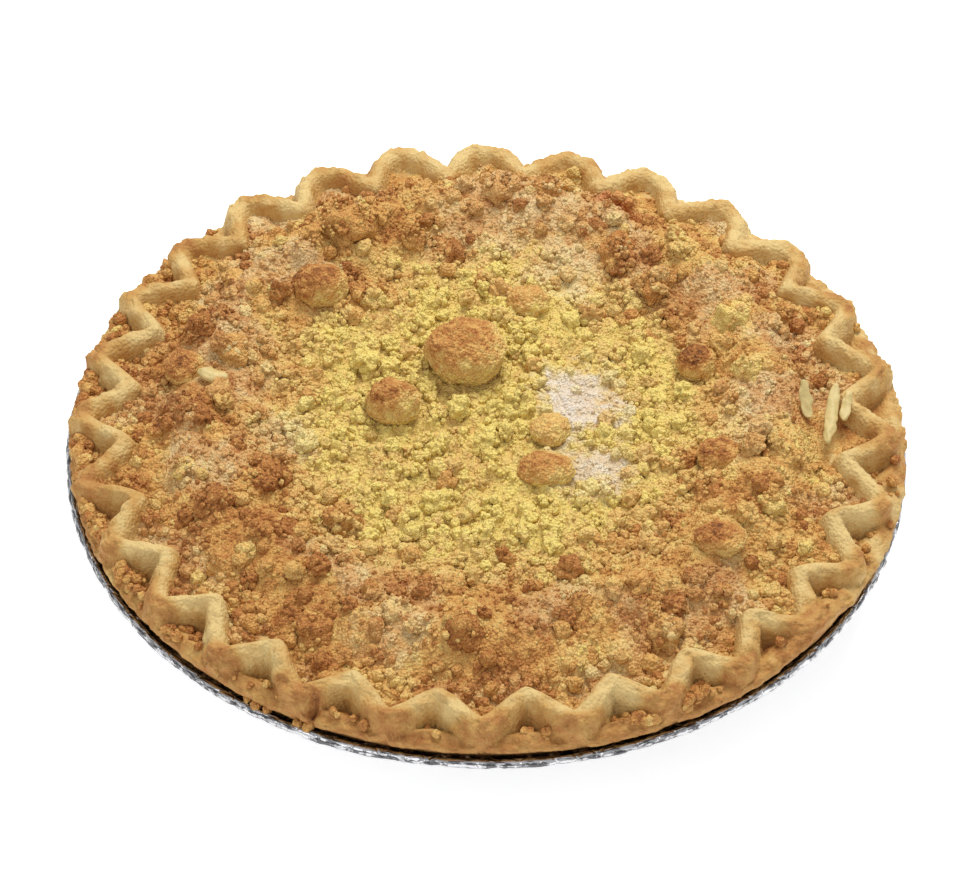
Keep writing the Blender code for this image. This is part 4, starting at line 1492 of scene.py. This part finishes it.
def make_stage():
    tints = colours()
    form = bmesh.new()
    bmesh.ops.create_grid(form, x_segments=2, y_segments=2, size=3.0)
    mesh = mesh_from(form, "floor")
    floor = bpy.data.objects.new("floor", mesh)
    bpy.context.scene.collection.objects.link(floor)
    material, build, surface = shader("Pale floor", 0.9, 0.1)
    haze = build.noise(3.0, 2.0)
    pale = rgba(tints.floor)
    dimmer = tuple(0.98 * part for part in pale[:3]) + (1.0,)
    build.link(build.mix(haze, pale, dimmer), surface.inputs["Base Color"])
    surface.inputs["Emission Color"].default_value = pale
    surface.inputs["Emission Strength"].default_value = FLOOR_GLOW
    mesh.materials.append(material)

    world = bpy.data.worlds.new("Studio")
    world.use_nodes = True
    sky = world.node_tree.nodes["Background"]
    sky.inputs[0].default_value = (1.0, 1.0, 1.0, 1.0)
    sky.inputs[1].default_value = SKY_LIGHT
    bpy.context.scene.world = world
    for name, place, size, power, tint in (
        ("Key", (0.20, 0.60, 1.10), 0.60, 13.8, (1.0, 0.985, 0.96)),
        ("Fill", (-0.55, -0.95, 0.90), 0.90, 3.3, (1.0, 1.0, 1.0)),
    ):
        lamp = bpy.data.lights.new(name, "AREA")
        lamp.size = size
        lamp.energy = power
        lamp.color = tint
        light = bpy.data.objects.new(name, lamp)
        light.location = place
        aim = Vector((0, 0, 0.03)) - Vector(place)
        light.rotation_euler = aim.to_track_quat("-Z", "Y").to_euler()
        bpy.context.scene.collection.objects.link(light)


def make_camera():
    """The photograph's view: from the front, 45 degrees above, 0.8 m from the pie."""
    elevation = math.radians(45.35)
    roll = math.radians(0.95)
    distance = 0.8
    target = Vector((0, 0, 0.0295))
    width = 960
    focal_pixels = 2714
    shift = (-6.5, -5.5)
    back = Vector((0, -math.cos(elevation), math.sin(elevation)))
    right = Vector((1, 0, 0))
    up = back.cross(right)
    lens = bpy.data.cameras.new("Camera")
    lens.sensor_width = 36
    lens.lens = focal_pixels / width * lens.sensor_width
    lens.shift_x = shift[0] / width
    lens.shift_y = shift[1] / width
    camera = bpy.data.objects.new("Camera", lens)
    turn = Matrix((right, up, back)).transposed().to_4x4() @ Matrix.Rotation(roll, 4, "Z")
    camera.matrix_world = Matrix.Translation(target + back * distance) @ turn
    bpy.context.scene.collection.objects.link(camera)
    bpy.context.scene.camera = camera
    bpy.context.scene.view_settings.view_transform = "Standard"


class PIE_OT_dish(bpy.types.Operator):
    """Make the foil dish"""

    bl_idname = "pie.dish"
    bl_label = "Foil dish"

    def execute(self, context):
        make_dish()
        return {"FINISHED"}


class PIE_OT_pastry(bpy.types.Operator):
    """Make the pinched pastry"""

    bl_idname = "pie.pastry"
    bl_label = "Pinched pastry"

    def execute(self, context):
        make_pastry()
        return {"FINISHED"}


class PIE_OT_filling(bpy.types.Operator):
    """Finish the filling that shows at the split"""

    bl_idname = "pie.filling"
    bl_label = "Filling"

    def execute(self, context):
        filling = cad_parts["apple_filling"]
        filling.data.materials.clear()
        filling.data.materials.append(filling_finish())
        return {"FINISHED"}


class PIE_OT_topping(bpy.types.Operator):
    """Make the topping's own surface"""

    bl_idname = "pie.topping"
    bl_label = "Crumb bed"

    def execute(self, context):
        make_bed()
        return {"FINISHED"}


class PIE_OT_lumps(bpy.types.Operator):
    """Make the large lumps of crumb"""

    bl_idname = "pie.lumps"
    bl_label = "Large lumps"

    def execute(self, context):
        make_lumps()
        return {"FINISHED"}


class PIE_OT_crumbs(bpy.types.Operator):
    """Scatter the loose crumbs"""

    bl_idname = "pie.crumbs"
    bl_label = "Loose crumbs"

    def execute(self, context):
        make_crumbs()
        return {"FINISHED"}


class PIE_OT_slivers(bpy.types.Operator):
    """Make the slivers of apple"""

    bl_idname = "pie.slivers"
    bl_label = "Apple slivers"

    def execute(self, context):
        make_slivers()
        return {"FINISHED"}


class PIE_OT_stage(bpy.types.Operator):
    """Set the floor, the light and the camera"""

    bl_idname = "pie.stage"
    bl_label = "Stage"

    def execute(self, context):
        make_stage()
        make_camera()
        return {"FINISHED"}


OPERATORS = (
    PIE_OT_dish,
    PIE_OT_pastry,
    PIE_OT_filling,
    PIE_OT_topping,
    PIE_OT_lumps,
    PIE_OT_crumbs,
    PIE_OT_slivers,
    PIE_OT_stage,
)


class PIE_PT_panel(bpy.types.Panel):
    """The pie's pieces, sizes and colours"""

    bl_label = "Crumb apple pie"
    bl_space_type = "VIEW_3D"
    bl_region_type = "UI"
    bl_category = "Pie"

    def draw(self, context):
        for group in (context.scene.pie_sizes, context.scene.pie_colours):
            box = self.layout.box()
            for name in group.__annotations__:
                box.prop(group, name)
        for operator in OPERATORS:
            self.layout.operator(operator.bl_idname)


CLASSES = (PieSizes, PieColours) + OPERATORS + (PIE_PT_panel,)


def register():
    for item in CLASSES:
        bpy.utils.register_class(item)
    bpy.types.Scene.pie_sizes = PointerProperty(type=PieSizes)
    bpy.types.Scene.pie_colours = PointerProperty(type=PieColours)


def unregister():
    del bpy.types.Scene.pie_colours
    del bpy.types.Scene.pie_sizes
    for item in reversed(CLASSES):
        bpy.utils.unregister_class(item)


def main():
    register()
    bpy.ops.pie.dish()
    bpy.ops.pie.pastry()
    bpy.ops.pie.filling()
    bpy.ops.pie.topping()
    bpy.ops.pie.lumps()
    bpy.ops.pie.crumbs()
    bpy.ops.pie.slivers()
    bpy.ops.pie.stage()


if __name__ == "__main__":
    main()
